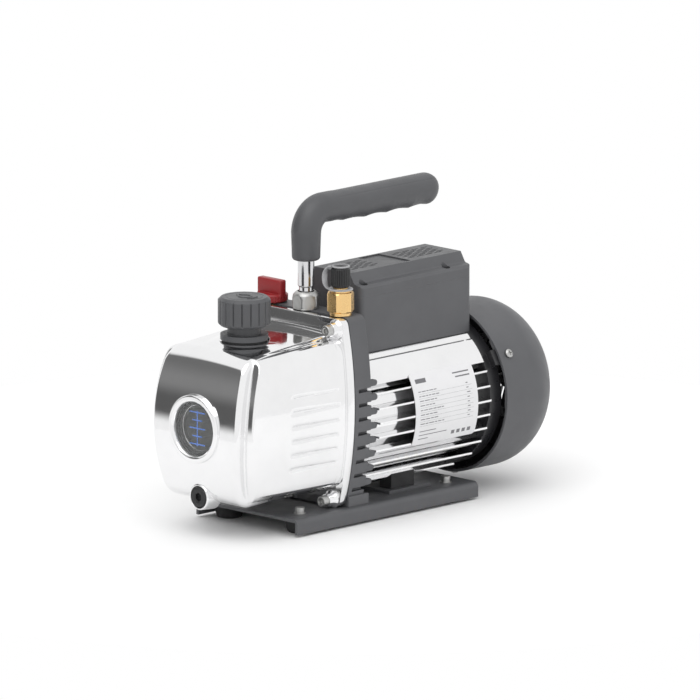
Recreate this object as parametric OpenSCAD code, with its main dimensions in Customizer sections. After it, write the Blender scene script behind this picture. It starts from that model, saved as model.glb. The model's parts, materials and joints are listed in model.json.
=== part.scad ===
// Rotary vane vacuum pump: an oil tank with its pump module at -X, a cast bracket, a finned
// motor, and a cooling fan under a round cover at +X. The nameplate side is -Y and +Z is up.
// The origin is on the floor, under the middle of the pump.

/* [Overall] */
// Distance from the floor to the shaft's axis
axis_z = 74.7; // [74:0.1:76]
// Length from the sight glass to the back of the fan cover
overall_l = 334; // [334:1:340]

/* [Base] */
// Length of the base plate
plate_l = 191; // [188:1:196]
// Width of the base plate
plate_w = 106; // [104:1:110]
// Height of the plate's upper face over the floor
plate_top = 13.5; // [13:0.1:13.6]
// Thickness of the plate's sheet metal
plate_t = 2.5; // [2:0.5:3]
// Largest diameter of a rubber foot
foot_d = 23; // [20:1:25]

/* [Oil tank] */
// Half the width of the tank at its flange
tank_half_w = 52; // [51:0.5:53]
// Thickness of the cast walls
tank_wall = 3.5; // [3:0.5:4]
// Diameter of the sight glass
glass_d = 40; // [36:1:42]
// Diameter of the oil filler cap
cap_d = 39.3; // [36:0.1:42]

/* [Pump module] */
// Radius of the slotted rotor
rotor_r = 24; // [23.9:0.05:24.05]
// Radius of the cylinder's bore
bore_r = 27.3; // [27.3:0.1:27.8]
// Distance between the axes of the rotor and the bore
offset_z = 3.2; // [3:0.05:3.2]

/* [Motor] */
// Radius over the motor's cooling fins
fin_r = 58; // [57:0.5:59]
// Distance between neighbouring fins
fin_pitch = 10.8; // [10.5:0.1:11]
// Outer radius of the fan cover
cover_r = 64.1; // [63:0.1:66]
// Number of fan blades
blade_count = 9; // [6:1:11]

/* [Top fittings] */
// Height of the row of fittings over the floor
row_z = 157; // [157:0.5:158]
// Distance from the middle to the inlet fitting
inlet_y = 36; // [34:0.5:37]
// Distance from the middle to the gas ballast knob
ballast_y = 36; // [35:0.5:38]
// Thickness of the handle's grip
grip_d = 22.4; // [20:0.2:24]

/* [Hidden] */
$fn = 64;
clear = 0.05;
casting = "#d9dadb";
grey = "#5d5e62";
black = "#17181a";
steel = "#b9bcc0";
brass = "#d9b06a";
rubber = "#1c1c1e";

front_x = -overall_l / 2;
rear_x = overall_l / 2;
plate_x0 = -110;
plate_x1 = plate_x0 + plate_l;
foot_x = [plate_x0 + 18.5, plate_x1 - 18.5];
foot_y = 37;
flange_x0 = -59.5;
flange_x1 = -52.5;
bracket_x0 = -51.7;
bracket_x1 = -35;
row_x = -47.6;
stud_r = 3.6;
rod_r = 6.2;
bolt_points = [[38.5, 19.4], [43, 149]];
cap_x = -112.4;
cap_seat_z = 142;
drain_z = 30.8;
drain_x = -160.5;
glass_z = 83;
chamber_x0 = -88;
chamber_x1 = -58;
bore_z = axis_z - offset_z;
frame_bore_r = 45.4;
core_r = 48.5;
tie_rod_r = 51;
slot_w = 5;
vane_l = 14;
vane_tip = rotor_r - 0.1;
spring_x = [-80, -66];
frame_x0 = -34.5;
frame_x1 = 90;
rim_x = 100.8;
cover_corner = 35;
cover_t = 2;
cover_screw_x = 110;
cover_screw_angles = [30, 150, 270];
box_x0 = -20.5;
box_x1 = 97;
box_half_w = 30.3;
box_z0 = 122.2;
box_seam_z = 164.5;
box_top_z = 181.8;
box_t = 2.5;
lid_screw_x = [-12.5, 74.7];
lid_screw_y = 25;
mains_y = -11;
switch_y = 17;
mains_z = 152;
grip_r = grip_d / 2;
grip_axis_z = 230.6;
grip_end_x = 88;
elbow_r = 17;
flare_z = 176;

// A cylinder along +X that starts at x
module rod_x(x, l, r) {
  translate([x, 0, 0]) rotate([0, 90, 0]) cylinder(h = l, r = r);
}

// Children on the shaft's axis
module on_axis() {
  translate([0, 0, axis_z]) children();
}

// Children on both sides of the XZ plane
module both_sides() {
  children();
  mirror([0, 1, 0]) children();
}

// A barrel-shaped outline in Y and Z: bowed sides, flat ends and round corners
function side_y(w, z, mid) = w - pow(z - mid, 2) / 560;
function half_barrel(w, z0, z1, r, mid) = concat(
  [for (a = [-90:15:-15]) [side_y(w, z0 + r, mid) - r + r * cos(a), z0 + r + r * sin(a)]],
  [for (i = [0:10]) let (z = z0 + r + (z1 - z0 - 2 * r) * i / 10) [side_y(w, z, mid), z]],
  [for (a = [15:15:90]) [side_y(w, z1 - r, mid) - r + r * cos(a), z1 - r + r * sin(a)]]
);
function barrel(w, z0, z1, r, mid = 90) = let (h = half_barrel(w, z0, z1, r, mid))
  concat(h, [for (i = [len(h) - 1:-1:0]) [-h[i][0], h[i][1]]]);

// A slab along +X with the outline drawn in Y and Z
module slab_x(x, l, points) {
  translate([x, 0, 0]) rotate([90, 0, 90]) linear_extrude(l) polygon(points);
}

// ---- base ----

module base_plate() {
  color(grey) difference() {
    union() {
      translate([plate_x0, -plate_w / 2, plate_top - plate_t]) cube([plate_l, plate_w, plate_t]);
      both_sides() translate([plate_x0, plate_w / 2 - plate_t, 2]) cube([plate_l, plate_t, plate_top - 3]);
    }
    both_sides() plate_edge();
    for (x = foot_x, y = [-foot_y, foot_y]) translate([x, y, 0]) cylinder(h = 20, r = 2.2);
    for (y = [-30, 30]) translate([-42, y, 0]) cylinder(h = 20, r = 2.7);
    for (x = [12, 36]) translate([x, 0, 0]) cylinder(h = 20, r = 2.2);
  }
}

// What the outer bend takes off a plate edge
module plate_edge() {
  bend = 4;
  translate([plate_x0 - 1, plate_w / 2 - bend, plate_top - bend]) difference() {
    cube([plate_l + 2, bend + 1, bend + 1]);
    translate([-1, 0, 0]) rotate([0, 90, 0]) cylinder(h = plate_l + 4, r = bend);
  }
}

module rubber_feet() {
  r = foot_d / 2;
  foot_outline = [[0, 0], [r - 3, 0], [r - 2, 1], [r, 10], [r, 11], [0, 11]];
  color(rubber) for (x = foot_x, y = [-foot_y, foot_y]) translate([x, y, 0]) difference() {
    rotate_extrude() polygon(foot_outline);
    translate([0, 0, -1]) cylinder(h = 4, r = 5);
    cylinder(h = 20, r = 2.1);
  }
}

module foot_screws() {
  color(steel) for (x = foot_x, y = [-foot_y, foot_y]) translate([x, y, 0]) difference() {
    union() {
      translate([0, 0, 4]) cylinder(h = plate_top - 4, r = 2);
      translate([0, 0, plate_top]) cylinder(h = 0.8, r = 4.5);
      translate([0, 0, plate_top + 0.8]) cylinder(h = 4, r = 3.5);
    }
    translate([0, 0, plate_top + 2.6]) cylinder(h = 3, r = 1.75, $fn = 6);
  }
}

module bracket_screws() {
  color(steel) for (y = [-30, 30]) translate([-42, y, 0]) {
    translate([0, 0, 7]) cylinder(h = plate_top - plate_t - 7, r = 4.6, $fn = 6);
    translate([0, 0, plate_top - plate_t]) cylinder(h = 10, r = 2.5);
  }
}

module motor_rest_strip() {
  color(grey) difference() {
    translate([2, -38, plate_top]) cube([44, 76, 2.4]);
    for (x = [12, 36]) translate([x, 0, 0]) cylinder(h = 30, r = 2.2);
    on_axis() rod_x(-10, 80, fin_r + 0.5);
  }
}

module motor_rest_pads() {
  color(rubber) difference() {
    both_sides() translate([8, 22, plate_top + 2.4]) cube([24, 12, 12]);
    on_axis() rod_x(-10, 80, fin_r + 0.05);
  }
}

// ---- bracket between the tank and the motor ----

module pump_bracket() {
  color(grey) difference() {
    union() {
      difference() {
        slab_x(bracket_x0, bracket_x1 - bracket_x0, barrel(55.6, plate_top + 1.5, row_z, 6));
        both_sides() for (i = [-5:2]) bracket_slot(axis_z + (i + 0.5) * fin_pitch);
      }
      both_sides() for (i = [-4:3]) bracket_finger(axis_z + (i - 0.1) * fin_pitch);
      difference() {
        translate([bracket_x0, -48.5, plate_top]) cube([21, 97, 8]);
        translate([0, 0, axis_z]) rod_x(-36, 20, fin_r + 0.4);
      }
      on_axis() rod_x(bracket_x1 - 1, 5.5, frame_bore_r - clear);
    }
    on_axis() {
      difference() {
        rod_x(-45, 20, 41);
        rod_x(-46, 22, 22);
      }
      rod_x(-44.5, 20, 17.5 + clear / 2);
      rod_x(-52, 8, 15 + clear / 2);
      tie_rod_places() rod_x(-41.1, 10, 1.5 + clear);
    }
    bracket_passages();
    for (p = bolt_points, s = [-1, 1]) translate([0, s * p[0], p[1]]) rod_x(-53, 12, 2.5 + clear);
    for (a = [45:90:315]) translate([0, 32.6 * cos(a), bore_z + 32.6 * sin(a)]) rod_x(-53, 8, 2 + clear);
    for (y = [-30, 30]) translate([-42, y, 10]) cylinder(h = 12, r = 2.5 + clear);
  }
}

// A cooling slot in the bracket's side
module bracket_slot(z) {
  translate([-48, side_y(55.6, z, 90) - 4, z - 1.4]) cube([20, 8, 2.8]);
}

// A cooling finger that laps over the motor's end
module bracket_finger(z) {
  translate([-36, side_y(55.6, z, 90) - 3.2, z - 2.3]) cube([5.5, 3, 4.6]);
  translate([-30.5, side_y(55.6, z, 90) - 1.7, z]) rotate([90, 0, 0]) cylinder(h = 3, r = 2.3, center = true);
}

// The screwed seats of the top fittings and the inlet duct to the pump chamber
module bracket_passages() {
  translate([row_x, 0, row_z - 18]) cylinder(h = 30, r = stud_r + clear);
  translate([row_x, -inlet_y, row_z - 5.05]) cylinder(h = 20, r = stud_r + clear);
  translate([row_x, -inlet_y, 60]) cylinder(h = 95, r = 2.5);
  translate([row_x, -inlet_y, 60]) rotate([-90, 0, 0]) cylinder(h = 12.5, r = 2.5);
  translate([row_x - 10, -23.5, 60]) rotate([0, 90, 0]) cylinder(h = 10, r = 2.5);
  translate([row_x, ballast_y, row_z - 5.05]) cylinder(h = 20, r = stud_r + clear);
}

module tank_gasket() {
  color(black) difference() {
    slab_x(flange_x1, bracket_x0 - flange_x1, barrel(55.4, 16, 156, 6));
    slab_x(flange_x1 - 1, 4, barrel(46.5, 31, 142, 12));
    for (p = bolt_points, s = [-1, 1]) translate([0, s * p[0], p[1]]) rod_x(flange_x1 - 1, 4, 2.7);
  }
}

// ---- oil tank ----

// A closed body between two barrel outlines, cut to a bowed front; inset makes the hollow
module tank_body(inset) {
  front_r = 140;
  intersection() {
    hull() {
      slab_x(front_x + 2 + inset, 1, barrel(44.5 - inset, 25 + inset, 138 - inset, 13 - inset));
      slab_x(flange_x0 - 1, 2, barrel(tank_half_w - inset, 28 + inset, 146.5 - inset, 13 - inset));
    }
    translate([front_x + 2 + front_r, 0, 78]) rotate([90, 0, 0])
      cylinder(h = 200, r = front_r - inset, center = true, $fn = 180);
  }
}

// One of the long tapering grooves pressed in the tank's sides
module tank_groove(z) {
  translate([-112, side_y(48.6, z, 90), z - 1]) rotate([0, 0, 4]) cube([52, 6, 2]);
}

module oil_tank() {
  color(casting) difference() {
    union() {
      tank_body(0);
      difference() {
        slab_x(flange_x0, flange_x1 - flange_x0, barrel(56, 15, 156.5, 6));
        slab_x(flange_x0 - 1, 12, barrel(46.5, 31, 142, 12));
      }
      translate([0, 0, glass_z]) rod_x(front_x, 12, 25.6);
      translate([0, 0, drain_z]) rod_x(drain_x, 12, 9.8);
      translate([cap_x, 0, cap_seat_z - 8]) cylinder(h = 8, r = 19);
      for (p = bolt_points, s = [-1, 1]) translate([0, s * p[0], p[1]]) rod_x(-66, 8, 5.3);
    }
    tank_body(tank_wall);
    slab_x(flange_x0 - 2, 12, barrel(46.5, 31.5, 142, 12));
    translate([0, 0, glass_z]) {
      rod_x(front_x - 1, 40, 17);
      rod_x(front_x - 1, 8.5, glass_d / 2 + clear);
    }
    translate([0, 0, drain_z]) {
      rod_x(-170, 30, 4.5 + clear);
      rod_x(-170, drain_x + 175, 8.1);
    }
    translate([cap_x, 0, 120]) cylinder(h = 30, r = 13 + clear);
    translate([cap_x, 0, cap_seat_z]) cylinder(h = 10, r = 18.1);
    both_sides() for (i = [0:5]) tank_groove(axis_z - 2 + (i - 2) * fin_pitch);
    for (p = bolt_points, s = [-1, 1]) translate([0, s * p[0], p[1]]) rod_x(-70, 20, 2.7);
  }
}

module tank_bolts() {
  color(steel) for (p = bolt_points, s = [-1, 1]) translate([0, s * p[0], p[1]]) difference() {
    union() {
      rod_x(-71, 5, 4.25);
      rod_x(-66, 24, 2.5);
    }
    translate([-71.1, 0, 0]) rotate([0, 90, 0]) cylinder(h = 3, r = 2.3, $fn = 6);
  }
}

module sight_glass() {
  color("#cfe0e6", 0.35) translate([0, 0, glass_z]) rod_x(front_x + 1.2, 4.2, glass_d / 2);
}

module sight_glass_seal() {
  color(black) translate([front_x + 6.4, 0, glass_z]) rotate([0, 90, 0]) difference() {
    cylinder(h = 1.1, r = glass_d / 2 - 0.2);
    translate([0, 0, -1]) cylinder(h = 4, r = 17.4);
  }
}

// The printed level lines on the inner face of the glass: a long one at full, half and low
module oil_level_scale() {
  t = 0.12;
  color("#4b91cd") translate([front_x + 5.4, 0, glass_z]) union() {
    translate([0, -0.5, -13.5]) cube([t, 1, 27]);
    for (i = [-2:2]) translate([0, i % 2 == 0 ? -8 : -5, i * 6 - 0.5]) cube([t, i % 2 == 0 ? 16 : 10, 1]);
  }
}

module drain_plug() {
  color(black) translate([0, 0, drain_z]) difference() {
    union() {
      rod_x(drain_x - 0.4, 3.6, 7.7);
      rod_x(drain_x + 3.2, 10, 4.5);
    }
    translate([drain_x - 0.5, 0, 0]) rotate([0, 90, 0]) cylinder(h = 4, r = 3.4, $fn = 6);
  }
}

module drain_plug_seal() {
  color(rubber) translate([0, 0, drain_z]) difference() {
    rod_x(drain_x + 3.2, 1.7, 7);
    rod_x(drain_x + 2, 4, 4.7);
  }
}

// ---- oil filler ----

module filler_neck() {
  color(grey) translate([cap_x, 0, 0]) difference() {
    union() {
      translate([0, 0, cap_seat_z + 1.5]) cylinder(h = 4, r = 17.8);
      translate([0, 0, cap_seat_z - 14]) cylinder(h = 15.5, r = 13);
      translate([0, 0, cap_seat_z + 5.5]) cylinder(h = 16, r = 12.5);
    }
    cylinder(h = 200, r = 9.5);
  }
}

module filler_neck_seal() {
  color(rubber) translate([cap_x, 0, cap_seat_z]) difference() {
    cylinder(h = 1.5, r = 16.6);
    translate([0, 0, -1]) cylinder(h = 4, r = 13.2);
  }
}

module filler_cap() {
  ribs = 18;
  color(grey) translate([cap_x, 0, 0]) {
    difference() {
      union() {
        translate([0, 0, 153.6]) cylinder(h = 1.6, r1 = cap_d / 2 - 1.6, r2 = cap_d / 2 - 0.5);
        translate([0, 0, 155.2]) cylinder(h = 18.6, r = cap_d / 2 - 0.5);
        translate([0, 0, 173.8]) cylinder(h = 1.6, r1 = cap_d / 2 - 0.5, r2 = cap_d / 2 - 2.1);
        for (i = [0:ribs - 1]) rotate(i * 360 / ribs)
          translate([cap_d / 2 - 2.4, 0, 155.4]) cylinder(h = 18.2, r = 2.4);
      }
      translate([0, 0, 150]) cylinder(h = 15.6, r = 12.5 + clear);
      translate([0, 0, 150]) cylinder(h = 21, r = 9.5);
    }
    translate([0, 0, 175.4]) cap_emblem();
  }
}

// A raised oil drop on the cap
module cap_emblem() {
  linear_extrude(0.7) difference() {
    union() {
      circle(r = 5.5);
      polygon([[-5.1, 2.1], [0, 11.5], [5.1, 2.1]]);
    }
    circle(r = 3.6);
  }
}

module filler_cap_seal() {
  color(rubber) translate([cap_x, 0, 163.6]) difference() {
    cylinder(h = 1.9, r = 12.3);
    translate([0, 0, -1]) cylinder(h = 4, r = 9.7);
  }
}

// ---- pump module ----

module pump_disc(x, l) {
  translate([0, 0, bore_z]) rod_x(x, l, 38);
}

module pump_screw_holes(r) {
  for (a = [45:90:315]) translate([0, 32.6 * cos(a), bore_z + 32.6 * sin(a)]) rod_x(-100, 60, r);
}

module pump_rear_plate() {
  color(steel) difference() {
    pump_disc(chamber_x1, bracket_x0 - chamber_x1);
    on_axis() rod_x(-60, 20, 7.55);
    pump_screw_holes(2.2);
    translate([0, -23.5, 60]) rod_x(-60, 20, 2.5);
  }
}

module pump_cylinder() {
  color(steel) difference() {
    pump_disc(chamber_x0, chamber_x1 - chamber_x0);
    translate([0, 0, bore_z]) rod_x(-100, 60, bore_r);
    pump_screw_holes(2.2);
    translate([-100, -40, 105]) cube([60, 80, 20]);
    translate([-73, 10, 80]) cylinder(h = 40, r = 3);
    for (x = [-77, -69]) translate([x, -10, 99.5]) cylinder(h = 20, r = 1.25 + clear);
  }
}

module pump_front_plate() {
  color(steel) difference() {
    pump_disc(chamber_x0 - 7, 7);
    on_axis() rod_x(chamber_x0 - 5, 10, 7.55);
    pump_screw_holes(2.2);
  }
}

module pump_screws() {
  color(steel) for (a = [45:90:315])
    translate([0, 32.6 * cos(a), bore_z + 32.6 * sin(a)]) difference() {
    union() {
      rod_x(-99, 4, 3.5);
      rod_x(-95, 49, 2);
    }
    translate([-99.1, 0, 0]) rotate([0, 90, 0]) cylinder(h = 2.4, r = 1.7, $fn = 6);
  }
}

module pump_rotor() {
  color(steel) on_axis() difference() {
    union() {
      rod_x(chamber_x0 + 0.1, chamber_x1 - chamber_x0 - 0.2, rotor_r);
      rod_x(chamber_x0 - 4, 5, 7.5);
      rod_x(chamber_x1 - 1, 6, 7.5);
    }
    both_sides() translate([chamber_x0 - 1, 9.5, -slot_w / 2 - clear]) cube([32, 30, slot_w + 2 * clear]);
    for (x = spring_x) translate([x, 0, 0]) rotate([90, 0, 0]) cylinder(h = 30, r = 2.3, center = true);
    translate([-56, -2.5, -10]) cube([4, 5, 20]);
  }
}

// Both vanes stand flush with the rotor, where they clear the bore at every angle of the shaft
module vanes() {
  color("#3c3a38") on_axis() both_sides()
    translate([chamber_x0 + 0.15, vane_tip - vane_l, -slot_w / 2]) intersection() {
      cube([chamber_x1 - chamber_x0 - 0.3, vane_l, slot_w]);
      translate([-1, vane_l - 3, slot_w / 2]) rotate([0, 90, 0]) union() {
        cylinder(h = 40, r = 3);
        translate([-5, -20, 0]) cube([10, 20, 40]);
      }
    }
}

// The two small springs that push the vanes apart through the rotor's core
module vane_springs() {
  color(steel) on_axis() for (x = spring_x) translate([x, 0, 0]) coil_spring(19.4, 1.7, 0.35, 6);
}

// A coil spring along Y, centred: length, coil radius, wire radius and number of turns
module coil_spring(l, coil_r, wire_r, turns) {
  steps = turns * 10;
  sides = 6;
  path = [for (i = [0:steps]) let (a = 36 * i)
    [coil_r * cos(a), -l / 2 + wire_r + (l - 2 * wire_r) * i / steps, coil_r * sin(a)]];
  points = [for (i = [0:steps], j = [0:sides - 1]) let (a = 36 * i, b = 60 * j)
    path[i] + wire_r * [cos(b) * cos(a), sin(b), cos(b) * sin(a)]];
  walls = [for (i = [0:steps - 1], j = [0:sides - 1], half = [0, 1])
    let (k = (j + 1) % sides, a = i * sides + j, b = i * sides + k, c = a + sides, d = b + sides)
    half == 0 ? [a, b, d] : [a, d, c]];
  ends = [[for (j = [sides - 1:-1:0]) j], [for (j = [0:sides - 1]) steps * sides + j]];
  polyhedron(points, concat(walls, ends), convexity = 8);
}

module discharge_reed() {
  color("#8f9399") difference() {
    translate([-79, -14.5, 105.02]) cube([12, 30, 0.3]);
    for (x = [-77, -69]) translate([x, -10, 100]) cylinder(h = 20, r = 1.4);
  }
}

module discharge_stop() {
  color(steel) difference() {
    translate([-79, 0, 105.37]) rotate([90, 0, 90]) linear_extrude(12)
      polygon([[-14.5, 0], [-6, 0], [15.5, 2.4], [15.5, 3.9], [-6, 1.5], [-14.5, 1.5]]);
    for (x = [-77, -69]) translate([x, -10, 100]) cylinder(h = 20, r = 1.4);
  }
}

module discharge_screws() {
  color(steel) for (x = [-77, -69]) translate([x, -10, 0]) {
    translate([0, 0, 100]) cylinder(h = 6.87, r = 1.25);
    translate([0, 0, 106.87]) cylinder(h = 1.6, r = 2.4);
  }
}

module shaft_seal() {
  color(rubber) on_axis() difference() {
    rod_x(-51.6, 7, 15);
    rod_x(-52, 8, 7.55);
    rod_x(-50.5, 7, 12);
  }
  color(rubber) on_axis() difference() {
    rod_x(-49, 3, 9);
    rod_x(-50, 5, 7.55);
  }
}

module drive_key() {
  color(steel) on_axis() translate([-55.9, -2.4, -5.5]) cube([7.7, 4.8, 11]);
}

// ---- motor ----

module motor_shaft() {
  color(steel) on_axis() difference() {
    union() {
      rod_x(-52, 22, 7.5);
      rod_x(-33, 112, 8);
      rod_x(79, 18.5, 7.5);
      rod_x(97.5, 28, 6);
    }
    translate([-53, -2.5, -10]) cube([5, 5, 20]);
  }
}

// A ball bearing: outer ring, inner ring and balls
module ball_bearing(x) {
  color("#c5c8cc") on_axis() {
    difference() {
      rod_x(x, 11, 17.5);
      rod_x(x - 1, 13, 14.8);
    }
    difference() {
      rod_x(x, 11, 10.2);
      rod_x(x - 1, 13, 7.52);
    }
    for (i = [0:7]) rotate([i * 45, 0, 0]) translate([x + 5.5, 12.5, 0]) sphere(r = 2.2);
  }
}

module front_bearing() {
  ball_bearing(-44.5);
}

module rear_bearing() {
  ball_bearing(84);
}

module motor_rotor() {
  color("#a9adb2") on_axis() difference() {
    union() {
      rod_x(-5, 60, 29.6);
      rod_x(-13, 76, 26);
    }
    rod_x(-20, 90, 8.02);
    difference() {
      rod_x(-14, 9, 22);
      rod_x(-15, 11, 12);
    }
  }
}

module stator_core() {
  color("#7d8086") on_axis() difference() {
    rod_x(-5, 60, frame_bore_r - clear);
    rod_x(-6, 62, 30.2);
    for (i = [0:23]) rotate([i * 15, 0, 0]) translate([-6, 33, -1.8]) cube([62, 8.4, 3.6]);
  }
}

module stator_windings() {
  color("#b4602d") on_axis() {
    for (x = [-24, 55.2]) difference() {
      rod_x(x, 18.8, 42);
      rod_x(x - 1, 22, 32);
    }
    for (i = [0:23]) rotate([i * 15, 0, 0]) translate([-5.1, 33.3, -1.5]) cube([60.2, 7.8, 3]);
  }
}

// Cross-section of the finned frame in Y and Z, about the shaft's axis
module frame_section() {
  fin_t = 1.6;
  shelf = [[60, 28], [60, 31.5], [44, 41], [36, 44], [33, 47.3]];
  difference() {
    union() {
      circle(r = core_r);
      translate([-4, -54]) square([8, 8]);
      for (i = [-5:2]) let (half = sqrt(pow(fin_r, 2) - pow(abs(i * fin_pitch) + fin_t / 2, 2)))
        translate([-half, i * fin_pitch - fin_t / 2]) square([2 * half, fin_t]);
      intersection() {
        circle(r = fin_r - 0.6);
        polygon(concat(shelf, [for (i = [len(shelf) - 1:-1:0]) [-shelf[i][0], shelf[i][1]]]));
      }
    }
    circle(r = frame_bore_r);
  }
}

// Children at the four long rods, about the shaft's axis
module tie_rod_places() {
  for (a = [45:90:315]) rotate([a, 0, 0]) translate([0, tie_rod_r, 0]) children();
}

module motor_frame() {
  color(casting) difference() {
    on_axis() translate([frame_x0, 0, 0]) rotate([90, 0, 90])
      linear_extrude(frame_x1 - frame_x0) frame_section();
    on_axis() {
      difference() {
        rod_x(frame_x0 - 1, 7.7, 70);
        rod_x(frame_x0 - 2, 10, 51.7);
      }
      tie_rod_places() rod_x(frame_x0 - 1, 200, 1.5 + clear);
    }
  }
}

module rear_end_bell() {
  color(black) difference() {
    union() {
      on_axis() {
        rod_x(frame_x1, 12, 56.5);
        rod_x(frame_x1 - 6, 8, frame_bore_r - clear);
      }
      for (a = cover_screw_angles) on_axis() rotate([a, 0, 0])
        translate([frame_x1 + 6, 52, -6]) cube([20, 9.8, 12]);
    }
    on_axis() {
      difference() {
        rod_x(80, 19, 42);
        rod_x(79, 21, 21.5);
      }
      rod_x(70, 25, 17.5 + clear / 2);
      rod_x(70, 60, 9);
      for (i = [0:7]) rotate([i * 45 + 22.5, 0, 0]) translate([95, 24, -5]) cube([10, 15, 10]);
    }
    for (a = cover_screw_angles) cover_screw_axis(a) cylinder(h = 30, r = 2 + clear, center = true);
    on_axis() tie_rod_places() rod_x(80, 40, 1.5 + clear);
  }
}

// Children with +Z along a fan cover screw, from the cover's outside
module cover_screw_axis(a) {
  on_axis() rotate([a, 0, 0]) translate([cover_screw_x, cover_r, 0]) rotate([-90, 0, 0]) children();
}

// The long rods in the frame's valleys that clamp the bell to the bracket, with their nuts
module tie_rods() {
  color(steel) on_axis() tie_rod_places() {
    rod_x(-41, 146, 1.5);
    translate([102.05, 0, 0]) rotate([0, 90, 0]) difference() {
      cylinder(h = 2.4, r = 3.2, $fn = 6);
      translate([0, 0, -1]) cylinder(h = 5, r = 1.55);
    }
  }
}

module cooling_fan() {
  color(black) on_axis() difference() {
    union() {
      rod_x(107, 16, 11);
      rod_x(107, 2, 30);
      for (i = [0:blade_count - 1]) rotate([i * 360 / blade_count, 0, 0])
        translate([107, 9, -1]) cube([15, 42, 2]);
    }
    rod_x(100, 30, 6.02);
  }
}

// Half-section of the fan cover: radius in X, distance from the rim in Y
module cover_section(shrink) {
  depth = rear_x - rim_x - shrink;
  r = cover_r - shrink;
  corner = cover_corner - shrink;
  square([r, depth - corner]);
  square([r - corner, depth]);
  intersection() {
    translate([r - corner, depth - corner]) circle(r = corner);
    square([r, depth]);
  }
}

module fan_cover() {
  color(grey) difference() {
    translate([rim_x, 0, axis_z]) rotate([0, 90, 0]) rotate_extrude() difference() {
      cover_section(0);
      translate([0, -0.01]) cover_section(cover_t);
    }
    for (i = [0:19]) on_axis() rotate([i * 18, 0, 0])
      translate([rear_x - 8, 10, -1.4]) cube([20, 19, 2.8]);
    for (a = cover_screw_angles) cover_screw_axis(a) cylinder(h = 30, r = 2.2, center = true);
  }
}

module fan_cover_screws() {
  color(steel) for (a = cover_screw_angles) cover_screw_axis(a) difference() {
    union() {
      translate([0, 0, -10]) cylinder(h = 10.3, r = 2);
      translate([0, 0, 0.3]) cylinder(h = 1.4, r = 3.3);
      translate([0, 0, 1.7]) cylinder(h = 0.8, r1 = 3.3, r2 = 2.2);
    }
    for (q = [0, 90]) rotate(q) translate([-1.8, -0.35, 1.3]) cube([3.6, 0.7, 4]);
  }
}

// A thin label wrapped over the fins on the -Y side
module nameplate() {
  color("white") on_axis() translate([9.5, 0, 0]) rotate([90, 0, 90]) linear_extrude(66) difference() {
    intersection() {
      circle(r = fin_r + 0.35);
      polygon([[0, 0], [-100, 61], [-100, -44]]);
    }
    circle(r = fin_r + 0.05);
  }
}

// ---- terminal box ----

// Half outline of the box and its lid, from the middle out
function lid_outline(s, top) = [
  [box_half_w - s, box_seam_z], [box_half_w - s, 171 - s / 2], [box_half_w - 1.8 - s, 173 - s],
  [23.8 - s, 174 - s], [22.8 - s, 175 - s], [18.7 - s / 2, top]
];
function mirrored(h) = concat(h, [for (i = [len(h) - 1:-1:0]) [-h[i][0], h[i][1]]]);

// Plan of the box with round corners, as a block that other shapes are cut to
module box_plan(inset, z0, h) {
  r = 4 - inset / 2;
  x0 = box_x0 + inset;
  x1 = box_x1 - inset;
  y = box_half_w - inset;
  translate([x0 + r, -y, z0]) cube([x1 - x0 - 2 * r, 2 * y, h]);
  translate([x0, -y + r, z0]) cube([x1 - x0, 2 * y - 2 * r, h]);
  for (x = [x0 + r, x1 - r], s = [-1, 1]) translate([x, s * (y - r), z0]) cylinder(h = h, r = r);
}

module terminal_box() {
  color(grey) difference() {
    box_plan(0, box_z0, box_seam_z - box_z0);
    box_plan(box_t, box_z0 + box_t, 60);
    translate([box_x1 - 10, mains_y - 13.2, mains_z - 9.4]) cube([20, 26.4, 18.8]);
    translate([box_x1 - 10, switch_y - 6.6, mains_z - 9.4]) cube([20, 13.2, 18.8]);
    on_axis() {
      rod_x(box_x0 - 1, 120, core_r + clear);
      rod_x(frame_x1 - 0.1, 20, 56.6);
    }
  }
  color(grey) for (x = lid_screw_x, s = [-1, 1])
    translate([x, s * lid_screw_y, box_z0 + box_t]) difference() {
    translate([0, 0, -0.5]) cylinder(h = box_seam_z - box_z0 - box_t + 0.5, r = 2.9);
    translate([0, 0, 25]) cylinder(h = 60, r = 1.6);
  }
}

// Staggered rows of short vent slots between two stations along the lid
module vent_slots(x0, columns) {
  for (i = [0:columns - 1], j = [-4:3])
    translate([x0 + 9.4 * i + (j % 2 == 0 ? 0 : 4.7), 2.8 * j + 0.7, box_top_z - 5]) cube([7, 1.4, 10]);
}

module terminal_box_lid() {
  color(grey) difference() {
    intersection() {
      slab_x(box_x0, box_x1 - box_x0, mirrored(lid_outline(0, box_top_z)));
      box_plan(0, box_seam_z, 30);
    }
    intersection() {
      slab_x(box_x0, box_x1 - box_x0, mirrored(lid_outline(box_t, box_top_z - box_t)));
      box_plan(box_t, box_seam_z - 1, 30);
    }
    vent_slots(-10, 3);
    vent_slots(50, 4);
    translate([24, -17, box_top_z - 1]) cube([22, 34, 4]);
    for (x = lid_screw_x, s = [-1, 1]) translate([x, s * lid_screw_y, box_seam_z - 1]) {
      cylinder(h = 20, r = 1.8);
      translate([0, 0, 7.6]) cylinder(h = 20, r = 3.2);
    }
  }
}

module lid_screws() {
  color("#2b2c2e") for (x = lid_screw_x, s = [-1, 1]) translate([x, s * lid_screw_y, 0]) difference() {
    union() {
      translate([0, 0, box_z0 + 30]) cylinder(h = box_seam_z - box_z0 - 30 + 6.6, r = 1.5);
      translate([0, 0, box_seam_z + 6.6]) cylinder(h = 1.8, r = 2.9);
    }
    for (q = [0, 90]) rotate(q) translate([-1.6, -0.3, box_seam_z + 7.5]) cube([3.2, 0.6, 4]);
  }
}

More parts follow.
